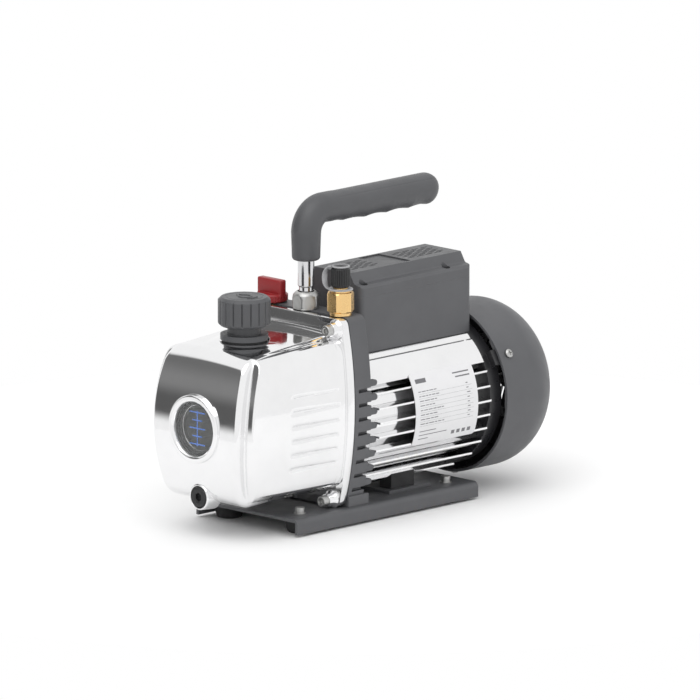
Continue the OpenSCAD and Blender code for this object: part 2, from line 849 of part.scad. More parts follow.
module capacitor() {
  color("#e4e4e0") translate([0, 0, box_z0 + box_t + 21.3]) {
    rod_x(-6, 62, 17);
    for (y = [-5, 5]) translate([56, y - 3, -0.4]) cube([8, 6, 0.8]);
  }
}

module mains_inlet() {
  color(black) translate([box_x1, mains_y, mains_z]) difference() {
    union() {
      translate([0, -15, -11]) cube([2, 30, 22]);
      translate([-16, -13, -9.2]) cube([17, 26, 18.4]);
    }
    translate([-13, -11.5, -7.8]) cube([30, 23, 15.6]);
  }
  color(steel) translate([box_x1, mains_y, mains_z]) for (p = [[-7, -2], [0, 2], [7, -2]])
    translate([-14, p[0] - 2, p[1] - 1]) cube([12, 4, 2]);
}

module power_switch_frame() {
  color(black) translate([box_x1, switch_y, mains_z]) difference() {
    union() {
      translate([0, -7.5, -10.5]) cube([1.8, 15, 21]);
      translate([-14, -6.4, -9.2]) cube([15, 12.8, 18.4]);
    }
    translate([-9, -5.2, -8.2]) cube([20, 10.4, 16.4]);
  }
  color(black) translate([box_x1 - 4, switch_y, mains_z]) rotate([90, 0, 0])
    cylinder(h = 11, r = 1.15, center = true);
}

module power_switch_rocker() {
  color("#b01f24") translate([box_x1 - 4, switch_y - 4.9, mains_z]) rotate([90, 0, 0]) mirror([0, 0, 1])
    linear_extrude(9.8) difference() {
      polygon([[-1.8, -5], [4.2, -7.4], [4.4, 0], [6.4, 6.2], [-1.8, 5]]);
      circle(r = 1.2);
    }
}

// ---- handle ----

module handle_rod() {
  color(steel) translate([row_x, 0, 0]) {
    translate([0, 0, row_z - 17]) cylinder(h = 20, r = stud_r);
    translate([0, 0, row_z + 1.2]) cylinder(h = 60, r = rod_r);
  }
}

module handle_nut() {
  color(steel) translate([row_x, 0, 0]) difference() {
    intersection() {
      translate([0, 0, row_z]) cylinder(h = 13, r = 11.1, $fn = 6);
      union() {
        translate([0, 0, row_z]) cylinder(h = 8.5, r = 10.9);
        translate([0, 0, row_z + 8.5]) cylinder(h = 4.5, r1 = 10.9, r2 = 6.8);
      }
    }
    translate([0, 0, row_z - 1]) cylinder(h = 20, r = rod_r + clear);
  }
}

module handle_grip() {
  color(grey) difference() {
    union() {
      translate([row_x, 0, 193.5]) cylinder(h = grip_axis_z - elbow_r - 193.5, r = grip_r);
      translate([row_x + elbow_r, 0, grip_axis_z - elbow_r]) rotate([90, 0, 0])
        intersection() {
          rotate_extrude() translate([elbow_r, 0]) circle(r = grip_r);
          translate([-50, 0, -20]) cube([50, 50, 40]);
        }
      translate([0, 0, grip_axis_z]) rod_x(row_x + elbow_r, grip_end_x - grip_r - row_x - elbow_r, grip_r);
      translate([grip_end_x - grip_r, 0, grip_axis_z]) sphere(r = grip_r);
    }
    translate([row_x, 0, 190]) cylinder(h = 29, r = rod_r + clear);
  }
}

// ---- inlet and gas ballast ----

module inlet_fitting() {
  color(brass) translate([row_x, -inlet_y, 0]) difference() {
    union() {
      translate([0, 0, row_z - 5]) cylinder(h = 6, r = stud_r);
      translate([0, 0, row_z]) cylinder(h = 4, r = 8.2);
      translate([0, 0, row_z + 2.6]) cylinder(h = 14.9, r = 10.6, $fn = 6);
      translate([0, 0, row_z + 17.5]) cylinder(h = 1.5, r = 7);
      translate([0, 0, flare_z]) cylinder(h = 8.6, r = 5.55);
      translate([0, 0, flare_z + 8.6]) cylinder(h = 2.2, r1 = 5.55, r2 = 3.3);
    }
    cylinder(h = 300, r = 2.4);
  }
}

module inlet_cap() {
  color(black) translate([row_x, -inlet_y, 0]) difference() {
    union() {
      translate([0, 0, flare_z + 2.4]) cylinder(h = 14.8, r = 6.8);
      for (i = [0:23]) rotate(i * 15) translate([6.8, 0, flare_z + 2.6]) cylinder(h = 13.4, r = 0.45);
    }
    translate([0, 0, flare_z]) cylinder(h = 12.4, r = 5.6);
    translate([0, 0, flare_z + 14]) cylinder(h = 10, r = 3.2, $fn = 6);
  }
}

module inlet_cap_gasket() {
  color(brass) translate([row_x, -inlet_y, flare_z + 11]) difference() {
    cylinder(h = 1.3, r = 5.4);
    translate([0, 0, -1]) cylinder(h = 4, r = 2.6);
  }
}

// The tether: a ring round the fitting's neck, a bowed band at the side and a ring over the cap
module inlet_cap_strap() {
  color("#9a9c9e") translate([row_x, -inlet_y, 0]) rotate(135) {
    for (z = [0, 17.25]) translate([0, 0, flare_z + z]) difference() {
      union() {
        cylinder(h = 1.2, r = 7.6);
        translate([0, -2, 0]) cube([9, 4, 1.2]);
      }
      translate([0, 0, -1]) cylinder(h = 5, r = 5.7);
    }
    translate([0.2, 0, flare_z + 9.2]) rotate([90, 0, 0]) intersection() {
      difference() {
        cylinder(h = 4, r = 11.9, center = true);
        cylinder(h = 5, r = 10.7, center = true);
      }
      translate([5, -9.2, -5]) cube([20, 18.4, 10]);
    }
  }
}

module gas_ballast_valve() {
  color(brass) translate([row_x, ballast_y, 0]) {
    difference() {
      union() {
        translate([0, 0, row_z - 5]) cylinder(h = 6, r = stud_r);
        translate([0, 0, row_z]) cylinder(h = 1.8, r = 8.5);
        translate([0, 0, row_z + 1]) cylinder(h = 4.8, r = 4);
      }
      translate([0, 0, 130]) cylinder(h = 60, r = 1.6);
    }
  }
}

module gas_ballast_knob() {
  z0 = row_z + 0.6;
  color("#a3252b") translate([row_x, ballast_y, 0]) difference() {
    union() {
      translate([0, 0, z0]) cylinder(h = 6, r = 12.2);
      translate([-3.2, -12.3, z0 + 3]) cube([6.4, 24.6, 13.8]);
    }
    translate([0, 0, z0 - 1]) cylinder(h = 6.4, r = 4 + clear);
    translate([0, 0, z0 - 1]) cylinder(h = 2.7, r = 8.9);
  }
}

base_plate();
rubber_feet();
foot_screws();
bracket_screws();
motor_rest_strip();
motor_rest_pads();
pump_bracket();
tank_gasket();
oil_tank();
tank_bolts();
sight_glass();
sight_glass_seal();
oil_level_scale();
drain_plug();
drain_plug_seal();
filler_neck();
filler_neck_seal();
filler_cap();
filler_cap_seal();
pump_rear_plate();
pump_cylinder();
pump_front_plate();
pump_screws();
pump_rotor();
vanes();
vane_springs();
discharge_reed();
discharge_stop();
discharge_screws();
shaft_seal();
drive_key();
motor_shaft();
front_bearing();
rear_bearing();
motor_rotor();
stator_core();
stator_windings();
motor_frame();
rear_end_bell();
tie_rods();
cooling_fan();
fan_cover();
fan_cover_screws();
nameplate();
terminal_box();
terminal_box_lid();
lid_screws();
capacitor();
mains_inlet();
power_switch_frame();
power_switch_rocker();
handle_rod();
handle_nut();
handle_grip();
inlet_fitting();
inlet_cap();
inlet_cap_gasket();
inlet_cap_strap();
gas_ballast_valve();
gas_ballast_knob();
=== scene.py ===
"""Visual model of a rotary vane vacuum pump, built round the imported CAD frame.

Shapes are worked out in millimetres and become metres in Solid.build.
"""
import json  # noqa: E402
import math  # noqa: E402
import random  # noqa: E402

import bmesh  # noqa: E402
import bpy  # noqa: E402
import numpy as np  # noqa: E402
from mathutils import Matrix, Vector  # noqa: E402


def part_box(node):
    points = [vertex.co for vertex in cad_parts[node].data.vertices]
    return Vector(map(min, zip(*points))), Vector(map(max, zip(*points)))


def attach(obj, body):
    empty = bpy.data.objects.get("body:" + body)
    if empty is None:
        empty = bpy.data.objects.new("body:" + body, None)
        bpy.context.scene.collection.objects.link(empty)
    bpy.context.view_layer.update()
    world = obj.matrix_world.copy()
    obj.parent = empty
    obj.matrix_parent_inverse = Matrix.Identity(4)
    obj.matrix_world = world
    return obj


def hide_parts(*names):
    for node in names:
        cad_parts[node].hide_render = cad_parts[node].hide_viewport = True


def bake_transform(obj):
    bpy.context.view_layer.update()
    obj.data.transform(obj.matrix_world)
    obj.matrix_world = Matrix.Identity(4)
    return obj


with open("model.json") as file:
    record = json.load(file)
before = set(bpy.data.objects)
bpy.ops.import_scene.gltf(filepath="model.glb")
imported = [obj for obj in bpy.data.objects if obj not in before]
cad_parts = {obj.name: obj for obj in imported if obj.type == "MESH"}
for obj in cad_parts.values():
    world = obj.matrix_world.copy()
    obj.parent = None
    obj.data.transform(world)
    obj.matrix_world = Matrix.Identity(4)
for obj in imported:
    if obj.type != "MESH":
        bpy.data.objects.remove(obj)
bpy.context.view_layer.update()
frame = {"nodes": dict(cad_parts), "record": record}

NODES = frame["nodes"]
MM = 0.001


# ---------------------------------------------------------------- materials
class Nodes:
    """An empty node tree with short calls for adding nodes and linking them."""

    def __init__(self, tree):
        self.tree = tree
        tree.nodes.clear()

    def add(self, kind, **props):
        node = self.tree.nodes.new(kind)
        for key, value in props.items():
            setattr(node, key, value)
        return node

    def link(self, source, target):
        self.tree.links.new(source, target)

    def put(self, node, values):
        for key, value in values.items():
            if hasattr(value, "is_output"):
                self.link(value, node.inputs[key])
            else:
                node.inputs[key].default_value = value

    def math(self, operation, a, b=0.0, clamp=False):
        node = self.add("ShaderNodeMath", operation=operation, use_clamp=clamp)
        self.put(node, {0: a, 1: b})
        return node.outputs[0]


class Net(Nodes):
    """A material's tree, built round one principled shader."""

    def __init__(self, name):
        self.mat = bpy.data.materials.new(name)
        self.mat.use_nodes = True
        super().__init__(self.mat.node_tree)
        out = self.add("ShaderNodeOutputMaterial")
        self.shader = self.add("ShaderNodeBsdfPrincipled")
        self.link(self.shader.outputs[0], out.inputs["Surface"])
        self.coord = self.add("ShaderNodeTexCoord").outputs["Object"]

    def stretched(self, scale):
        node = self.add("ShaderNodeMapping")
        self.put(node, {"Vector": self.coord, "Scale": scale})
        return node.outputs[0]

    def noise(self, scale, detail=3.0, rough=0.55, stretch=None):
        node = self.add("ShaderNodeTexNoise")
        where = self.stretched(stretch) if stretch else self.coord
        self.put(node, {"Vector": where, "Scale": scale, "Detail": detail, "Roughness": rough})
        return node.outputs[0]

    def ramp(self, value, low, high, from_low=0.35, from_high=0.65):
        node = self.add("ShaderNodeMapRange", clamp=True)
        self.put(node, {"Value": value, 1: from_low, 2: from_high, 3: low, 4: high})
        return node.outputs[0]

    def blend(self, share, a, b):
        node = self.add("ShaderNodeMix", data_type="RGBA")
        colours = [value if hasattr(value, "is_output") else rgba(value) for value in (a, b)]
        self.put(node, {0: share, 6: colours[0], 7: colours[1]})
        return node.outputs[2]

    def bump(self, height, depth, normal=None):
        node = self.add("ShaderNodeBump")
        self.put(node, {"Height": height, "Distance": depth, "Strength": 1.0})
        if normal is not None:
            self.link(normal, node.inputs["Normal"])
        return node.outputs[0]

    def rounded(self, radius):
        node = self.add("ShaderNodeBevel", samples=4)
        node.inputs["Radius"].default_value = radius
        return node.outputs[0]

    def edges(self, rounded):
        """1 on sharp edges and 0 on open faces."""
        flat = self.add("ShaderNodeNewGeometry").outputs["Normal"]
        dot = self.add("ShaderNodeVectorMath", operation="DOT_PRODUCT")
        self.put(dot, {0: rounded, 1: flat})
        return self.ramp(dot.outputs["Value"], 1.0, 0.0, 0.78, 0.985)


def rgba(c):
    if isinstance(c, (int, float)):
        c = (c, c, c)
    return tuple(c)[:3] + (1.0,)


def shade(c, k):
    return tuple(x * k for x in rgba(c)[:3])


def surface(name, base, rough, metal=0.0, grain=(900.0, 0.02), patch=(45.0, 0.12),
            spread=0.06, brush=None, edge=0.3, wear=None, wear_share=0.0):
    """A worn surface: base colour with cloudy patches, grain, brushing, rounded and rubbed edges.

    grain and patch are (scale, amount), where grain's amount is a depth in mm and patch's a share of
    the colour. brush is (scale, stretch, amount), edge the radius of the rounding in mm, and wear the
    colour of the rubbed edges.
    """
    net = Net(name)
    clouds = net.noise(patch[0], 4.0, 0.6)
    colour = net.blend(net.ramp(clouds, 0.0, 1.0), shade(base, 1 - patch[1]), shade(base, 1 + patch[1]))
    fine = net.noise(grain[0], 2.0, 0.5)
    specks = net.ramp(fine, 0.0, 0.5 * patch[1], 0.4, 0.7)
    colour = net.blend(specks, colour, shade(base, 0.55))
    roughness = net.ramp(net.noise(patch[0] * 2.3, 5.0, 0.65), rough - spread, rough + spread)
    height = fine
    if brush:
        lines = net.noise(brush[0], 2.0, 0.6, stretch=brush[1])
        height = net.math("ADD", net.math("MULTIPLY", fine, 0.4), net.math("MULTIPLY", lines, brush[2]))
        roughness = net.math("ADD", roughness, net.ramp(lines, -0.5 * spread, 0.5 * spread))
    normal = net.rounded(edge * MM) if edge else None
    if wear_share:
        rubbed = net.edges(net.rounded(2.2 * edge * MM))
        broken = net.ramp(net.noise(260.0, 5.0, 0.7), 0.15, 1.0, 0.42, 0.6)
        share = net.math("MULTIPLY", net.math("MULTIPLY", rubbed, broken), wear_share)
        colour = net.blend(share, colour, wear)
    net.put(net.shader, {
        "Base Color": colour,
        "Roughness": roughness,
        "Metallic": metal,
        "Normal": net.bump(height, grain[1] * MM, normal),
    })
    return net


GREY = (0.088, 0.0895, 0.0955)
FINISH = {}


def finish(slot, name, base, rough, **look):
    """Makes a surface and keeps its material under a finish's name."""
    net = surface(name, base, rough, **look)
    FINISH[slot] = net.mat
    return net


finish("grey_enamel", "satin_grey_enamel", GREY, 0.44, grain=(1400.0, 0.012), patch=(28.0, 0.05), edge=0.5,
       wear_share=0.25, wear=(0.2, 0.2, 0.21))
finish("grey_plastic", "satin_grey_plastic", (0.078, 0.0795, 0.0845), 0.46, grain=(2600.0, 0.01),
       patch=(36.0, 0.05), edge=0.5, wear_share=0.2, wear=(0.17, 0.17, 0.18))
finish("rubber", "black_rubber", (0.02, 0.02, 0.021), 0.72, grain=(1800.0, 0.03), patch=(60.0, 0.2),
       edge=0.6, wear_share=0.35, wear=(0.06, 0.06, 0.06))
finish("zinc_steel", "zinc_plated_steel", (0.5, 0.5, 0.49), 0.36, metal=1.0, grain=(1500.0, 0.0025),
       patch=(120.0, 0.05), edge=0.25, wear_share=0.3, wear=(0.8, 0.8, 0.8))
finish("polished_aluminium", "polished_aluminium", (0.86, 0.86, 0.865), 0.08, metal=1.0,
       grain=(500.0, 0.002), patch=(30.0, 0.02), spread=0.03, brush=(260.0, (0.6, 6.0, 6.0), 0.2),
       edge=0.5)
finish("gasket_paper", "gasket_paper", (0.05, 0.055, 0.06), 0.85, grain=(1600.0, 0.03))
finish("level_print", "blue_level_print", (0.03, 0.16, 0.6), 0.5, grain=(3000.0, 0.004), edge=0.0)
finish("black_plastic", "black_plastic", (0.013, 0.013, 0.014), 0.44, grain=(2400.0, 0.008),
       patch=(50.0, 0.1), edge=0.3, wear_share=0.2, wear=(0.07, 0.07, 0.07))
finish("pump_iron", "ground_pump_iron", (0.78, 0.78, 0.78), 0.5, metal=0.2,
       brush=(240.0, (8.0, 1.0, 8.0), 0.6), edge=0.3)
finish("vane_composite", "vane_composite", (0.03, 0.026, 0.022), 0.55, grain=(2600.0, 0.01))
finish("spring_steel", "spring_steel", (0.5, 0.48, 0.44), 0.3, metal=1.0, edge=0.0)
finish("ground_steel", "ground_steel", (0.66, 0.66, 0.67), 0.2, metal=1.0,
       brush=(300.0, (1.0, 9.0, 9.0), 0.5), edge=0.2)
finish("rotor_core", "rotor_core", (0.4, 0.4, 0.42), 0.35, metal=1.0, brush=(900.0, (6.0, 0.4, 0.4), 0.8),
       edge=0.2)
finish("laminated_steel", "laminated_steel", (0.3, 0.3, 0.32), 0.42, metal=1.0,
       brush=(1300.0, (6.0, 0.2, 0.2), 1.0), edge=0.1)
finish("copper_wire", "enamelled_copper", (0.55, 0.2, 0.07), 0.3, metal=1.0,
       brush=(700.0, (5.0, 1.0, 1.0), 1.2), grain=(900.0, 0.06), edge=0.0)
finish("black_enamel", "black_enamel", (0.018, 0.018, 0.02), 0.3, grain=(900.0, 0.01), patch=(30.0, 0.1),
       edge=0.6, wear_share=0.3, wear=(0.06, 0.06, 0.06))
finish("label", "white_label", (0.74, 0.74, 0.75), 0.42, grain=(2600.0, 0.003), patch=(60.0, 0.02),
       edge=0.1)
finish("black_screws", "blackened_screws", (0.03, 0.03, 0.032), 0.35, metal=0.7, grain=(1500.0, 0.006),
       edge=0.2, wear_share=0.4, wear=(0.2, 0.2, 0.2))
finish("capacitor_can", "capacitor_can", (0.55, 0.56, 0.58), 0.3, metal=1.0,
       brush=(300.0, (0.5, 9.0, 9.0), 0.5), edge=0.3)
finish("switch_red", "red_moulding", (0.29, 0.016, 0.019), 0.38, grain=(2200.0, 0.006), patch=(70.0, 0.06),
       edge=0.5, wear_share=0.25, wear=(0.6, 0.12, 0.12))
finish("chrome_steel", "chromed_steel", (0.7, 0.7, 0.71), 0.1, metal=1.0, grain=(700.0, 0.002),
       patch=(60.0, 0.02), spread=0.02, edge=0.3)
finish("brass", "machined_brass", (0.86, 0.58, 0.26), 0.3, metal=1.0, grain=(900.0, 0.0012),
       patch=(90.0, 0.04), brush=(500.0, (1.0, 1.0, 9.0), 0.08), edge=0.25, wear_share=0.12,
       wear=(0.95, 0.75, 0.45))
finish("strap_grey", "grey_strap", (0.36, 0.36, 0.37), 0.55, grain=(1900.0, 0.012), edge=0.25)
glass = finish("clear_glass", "clear_glass", (0.93, 0.95, 0.95), 0.05, grain=(400.0, 0.0005),
               spread=0.03, edge=0.0)
# the pane is clear face on and gleams at a slant, and only its outer faces gleam
fresnel = glass.add("ShaderNodeFresnel")
fresnel.inputs["IOR"].default_value = 1.5
outside = glass.math("SUBTRACT", 1.0, glass.add("ShaderNodeNewGeometry").outputs["Backfacing"])
gleam = glass.math("MULTIPLY", fresnel.outputs[0], outside)
glass.link(glass.math("ADD", gleam, 0.03, clamp=True), glass.shader.inputs["Alpha"])

finish("cast_inside", "raw_cast_inside", (0.82, 0.82, 0.81), 0.55, grain=(700.0, 0.05), patch=(60.0, 0.12),
       edge=0.0)
finish("label_ink", "label_ink", (0.16, 0.16, 0.17), 0.5, grain=(2600.0, 0.002), edge=0.0)


def dress(node, slot):
    """Gives a carried-over CAD node the finish of a slot."""
    mesh = NODES[node].data
    for i in range(len(mesh.materials)):
        mesh.materials[i] = FINISH[slot]
    if not mesh.materials:
        mesh.materials.append(FINISH[slot])


# ---------------------------------------------------------------- mesh helpers
def arcs(points, steps=4):
    """Rounds a line of (a, b, radius) corners into a list of (a, b)."""
    out = []
    for i, (a, b, r) in enumerate(points):
        if r <= 0 or i in (0, len(points) - 1):
            out.append((a, b))
            continue
        here = Vector((a, b))
        before = Vector(points[i - 1][:2]) - here
        after = Vector(points[i + 1][:2]) - here
        half = before.angle(after) / 2
        reach = min(r / math.tan(half), before.length * 0.49, after.length * 0.49)
        start, end = here + before.normalized() * reach, here + after.normalized() * reach
        for k in range(steps + 1):
            t = k / steps
            p = start * (1 - t) ** 2 + here * 2 * t * (1 - t) + end * t * t
            out.append((p.x, p.y))
    return out


class Solid:
    """Collects closed surfaces in millimetres, then makes one object of them in metres."""

    def __init__(self):
        self.verts, self.faces, self.slots = [], [], []

    def ring_rows(self, rows, loop=False):
        """Joins rows of points, each a closed ring. The ends are capped, or joined by loop."""
        base, n, count = len(self.verts), len(rows[0]), len(rows)
        for row in rows:
            self.verts.extend(row)
        for i in range(count if loop else count - 1):
            here, there = base + i * n, base + (i + 1) % count * n
            for j in range(n):
                k = (j + 1) % n
                self.faces.append((here + j, here + k, there + k, there + j))
                self.slots.append(0)
        if not loop:
            self.faces.append(tuple(base + j for j in range(n))[::-1])
            self.faces.append(tuple(base + (count - 1) * n + j for j in range(n)))
            self.slots += [0, 0]

    def turned(self, profile, at, axis="Z", shape=None, segs=96, steps=4, loop=False):
        """A solid of revolution; shape(angle, radius, height) may vary its radius."""
        rows = []
        for r, h in arcs(profile, steps):
            row = []
            for k in range(segs):
                t = 2 * math.pi * k / segs
                rr = shape(t, r, h) if shape else r
                u, v = rr * math.cos(t), rr * math.sin(t)
                p = (u, v, h) if axis == "Z" else (h, u, v)
                row.append(tuple(p[i] + at[i] for i in range(3)))
            rows.append(row)
        self.ring_rows(rows, loop)

    def block(self, lo, hi, r, at, steps=3):
        """A box with rounded edges."""
        bm = bmesh.new()
        bmesh.ops.create_cube(bm, size=1.0)
        for v in bm.verts:
            v.co = Vector([lo[i] + (v.co[i] + 0.5) * (hi[i] - lo[i]) for i in range(3)])
        bmesh.ops.bevel(bm, geom=bm.edges[:] + bm.verts[:], offset=r, segments=steps,
                        affect="EDGES", profile=0.5)
        base, matrix = len(self.verts), Matrix.Translation(at)
        bm.verts.index_update()
        for v in bm.verts:
            self.verts.append(tuple(matrix @ v.co))
        for f in bm.faces:
            self.faces.append(tuple(base + v.index for v in f.verts))
            self.slots.append(0)
        bm.free()

    def build(self, name, body, slot_name, stands_for, looks=None, sharp=35.0):
        """Makes the object; looks are its finishes where it has more than its slot's own."""
        mesh = bpy.data.meshes.new(name)
        mesh.from_pydata([tuple(c * MM for c in v) for v in self.verts], [], self.faces)
        bm = bmesh.new()
        bm.from_mesh(mesh)
        bmesh.ops.remove_doubles(bm, verts=bm.verts[:], dist=1e-6)
        bmesh.ops.dissolve_degenerate(bm, edges=bm.edges[:], dist=1e-7)
        bmesh.ops.recalc_face_normals(bm, faces=bm.faces[:])
        bm.to_mesh(mesh)
        bm.free()
        if len(mesh.polygons) == len(self.slots):  # no face was merged away
            mesh.polygons.foreach_set("material_index", self.slots)
        for look in looks or [slot_name]:
            mesh.materials.append(FINISH[look])
        mesh.shade_smooth()
        mesh.set_sharp_from_angle(angle=math.radians(sharp))
        obj = bpy.data.objects.new(name, mesh)
        bpy.context.scene.collection.objects.link(obj)
        if body:
            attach(obj, body)
        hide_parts(stands_for)
        return obj


def box_mm(node):
    lo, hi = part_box(node)
    return lo / MM, hi / MM


def middle(lo, hi):
    return [(a + b) / 2 for a, b in zip(lo, hi)]


# ---------------------------------------------------------------- oil tank
def smooth(e0, e1, x):
    t = np.clip((x - e0) / (e1 - e0), 0, 1)
    return t * t * (3 - 2 * t)


def round_max(a, b, r):
    """The greater of two distances, with the edge where they meet rounded to radius r."""
    return np.minimum(-r, np.maximum(a, b)) + np.hypot(np.maximum(a + r, 0), np.maximum(b + r, 0))


WIDEST_Z = 90.0  # the height at which the barrel-shaped tank and flange are widest
BARREL = 560.0  # twice the radius of their sides
BOLT_HEAD_R = 4.25


class TankShape:
    """The cast tank's skin as a distance function in millimetres."""

    BOW, BOW_Z = 140.0, 78.0  # the bowed front's radius, and the height of its foremost line
    HUB_X = -118.0  # the nose is cast out from here, the body outward from the axis behind it
    FLANGE_THICK = 7.0
    PAD_START = 8.8  # from the bowed front back to the step where the side pads begin
    PAD_OUT = 7.4
    GROOVES, GROOVE_PITCH = 6, 10.8
    SEAT_R = 18.3

    def __init__(self):
        lo, hi = box_mm("oil_tank")
        glo, ghi = box_mm("sight_glass")
        self.front = glo.x + 0.8
        self.glass_z = middle(glo, ghi)[2]
        self.flange1 = hi.x
        self.flange0 = hi.x - self.FLANGE_THICK
        self.flange_lo, self.flange_hi, self.flange_w = lo.z, hi.z, hi.y
        clo, chi = box_mm("filler_neck_seal")
        self.cap = middle(clo, chi)
        self.seat = clo.z
        plo, phi = box_mm("drain_plug")
        self.drain = (plo.x, middle(plo, phi)[2])

    def along(self, x):
        """0 at the front and 1 at the flange."""
        return np.clip((x - self.front) / (self.flange0 - self.front), 0, 1)

    def nose(self, z):
        """How far the bowed front lies behind its foremost line."""
        return self.BOW - np.sqrt(self.BOW ** 2 - np.clip(z - self.BOW_Z, -100.0, 100.0) ** 2)

    def pad(self, x, z):
        """How far the side pad stands out from the core, 0 to 1: steep in front, rounded above and below."""
        step = smooth(-0.9, 0.9, x - (self.front + self.nose(z) + self.PAD_START))
        above = np.clip((137.5 + 4.5 * self.along(x) - z) / 12.0, 0, 1)
        below = np.clip((z - 30.0) / 9.0, 0, 1)
        return step * np.sqrt(1 - (1 - above) ** 2) * np.sqrt(1 - (1 - below) ** 2)

    def distance(self, x, y, z):
        s = self.along(x)
        core = 44.5 + 3.5 * s - (z - WIDEST_Z) ** 2 / BARREL
        width = core + (self.PAD_OUT - 1.4 * s) * self.pad(x, z)
        # grooves along the sides, each sharp above and soft below, tapering towards the flange
        taper = smooth(-114.0, -62.0, x)
        half = 1.8 - 0.9 * taper
        ends = smooth(-117.0, -110.5, x) * smooth(self.flange0 - 6.4, self.flange0 - 8.4, x)
        depth = (1.5 - 0.75 * taper) * ends
        for k in range(self.GROOVES):
            t = (z - (self.glass_z - 10.3 + (k - 2) * self.GROOVE_PITCH)) / half
            width = width - depth * np.where(t > 0, np.exp(-(t ** 2)), np.exp(-((1.9 * t) ** 2)))
        # a fine line round the tank in front of the flange
        seam = np.exp(-(((x - (self.flange0 - 5.2)) / 0.42) ** 2))
        width = width - 0.35 * seam
        # the roof, swelling up to the filler's seat
        r = np.hypot(x - self.cap[0], y - self.cap[1])
        top = 138.0 + 8.5 * s - 0.9 * (y / 30.0) ** 2 - 0.3 * seam
        swell = smooth(29.0, 19.2, r)
        top = top * (1 - swell) + np.maximum(self.seat + 0.25, top) * swell
        top = np.where(r < self.SEAT_R, self.seat, top)
        bottom = 25.0 + 3.0 * s
        side, up, down = np.abs(y) - width, z - top, bottom - z
        bow = np.hypot(x - (self.front + self.BOW), z - self.BOW_Z) - self.BOW
        edge = 5.0 + 4.5 * smooth(100.0, 132.0, z) + 6.0 * smooth(60.0, 34.0, z)
        profile = round_max(round_max(up, down, 5.0), bow, edge)
        corner = 3.5 + 1.5 * smooth(self.front + 8.0, self.front + 34.0, x)
        return round_max(profile, side, corner)

    def cast(self, origin, way, inset, far=90.0):
        """Where each ray from inside the tank leaves it, found by halving."""
        lo, hi = np.zeros(way.shape[:-1]), np.full(way.shape[:-1], far)
        for _ in range(26):
            mid = (lo + hi) / 2
            p = origin + way * mid[..., None]
            inside = self.distance(p[..., 0], p[..., 1], p[..., 2]) + inset < 0
            lo, hi = np.where(inside, mid, lo), np.where(inside, hi, mid)
        return origin + way * ((lo + hi) / 2)[..., None]

    def skin(self, cols, nose_rows, body_rows, inset):
        """Rows of rings from round the sight glass back to the flange."""
        t = np.linspace(0, 2 * np.pi, cols, endpoint=False)
        ring = np.stack([np.zeros(cols), np.cos(t), np.sin(t)], -1)
        first = math.atan(23.0 / (self.HUB_X - self.front))
        tilt = np.linspace(first, math.pi / 2, nose_rows)[:, None, None]
        way = ring[None] * np.sin(tilt) + np.array([-1.0, 0, 0]) * np.cos(tilt)
        origin = np.array([self.HUB_X, 0, self.glass_z])
        nose = self.cast(origin, way, inset)
        xs = np.linspace(self.HUB_X, self.flange0 + 1.0, body_rows + 1)[1:]
        start = np.zeros((body_rows, cols, 3))
        start[..., 0], start[..., 2] = xs[:, None], self.glass_z
        body = self.cast(start, np.broadcast_to(ring, start.shape), inset)
        return np.concatenate([nose, body])


def oil_tank():
    shape = TankShape()
    cols = 600
    outer = shape.skin(cols, 150, 120, 0.0)
    inner = shape.skin(cols, 16, 10, 3.3)[::-1]
    solid = Solid()
    rows = [[tuple(p) for p in row] for row in np.concatenate([outer, inner])]
    solid.ring_rows(rows, loop=True)
    # faces behind the outer skin's last row are the rough inside
    inside = (len(outer) - 1) * cols
    solid.slots = [1 if face[0] >= inside else 0 for face in solid.faces]
    # the sight glass's ring
    fx = shape.front
    ring = [(17.0, fx + 9.2, 0), (17.0, fx + 5.55, 0.2), (20.15, fx + 5.55, 0.2), (20.15, fx + 0.2, 0.0),
            (20.9, fx - 1.2, 0.7), (22.0, fx - 2.0, 0.6), (24.6, fx - 2.0, 0.9), (25.6, fx - 1.2, 0.8),
            (25.6, fx + 9.2, 0)]
    solid.turned(ring, (0, 0, shape.glass_z), "X", segs=160, loop=True)
    # the drain's boss
    boss = [(4.7, 13.2, 0), (4.7, 4.2, 0), (8.15, 4.2, 0.2), (8.15, 0.6, 0.3), (8.5, 0.0, 0.3), (9.3, 0.0, 0.5),
            (9.8, 0.9, 0.6), (10.2, 6.0, 1.0), (10.6, 13.2, 0)]
    solid.turned(boss, (shape.drain[0] + 0.4, 0, shape.drain[1]), "X", segs=72, loop=True)
    # flange
    lo, hi = shape.flange_lo, shape.flange_hi
    outline = flange_outline(shape.flange_w, lo, hi, 6.0)
    hole = flange_outline(46.8, lo + 16.2, hi - 14.2, 12.0)
    x0, x1 = shape.flange0, shape.flange1
    rim = [(x0, 0.9), (x0 + 0.26, 0.26), (x0 + 0.9, 0.0), (x1 - 0.5, 0.0), (x1, 0.4)]
    rows = []
    for points, steps in ((outline, rim), (hole, [(x1, 0.0), (x0, 0.0)])):
        for x, cut in steps:
            rows.append([(x, y - cut * ny, z - cut * nz) for y, z, ny, nz in points])
    solid.ring_rows(rows, loop=True)
    # bolt bosses
    boss_x = -66.0
    deep = shape.flange0 - boss_x + 0.2
    for y, z in bolt_centres():
        solid.turned([(2.75, 0, 0), (5.0, 0.0, 0.5), (5.4, 4.0, 1.0), (7.2, deep, 0), (2.75, deep, 0)],
                     (boss_x, y, z), "X", segs=48, loop=True)
    solid.build("oil_tank_casting", "pump_body", "polished_aluminium", "oil_tank",
                looks=["polished_aluminium", "cast_inside"], sharp=40)


def bolt_centres():
    lo, hi = box_mm("tank_bolts")
    r = BOLT_HEAD_R
    return [(s * (hi.y - r - d), z) for d, z in ((4.5, lo.z + r), (0.0, hi.z - r)) for s in (-1, 1)]


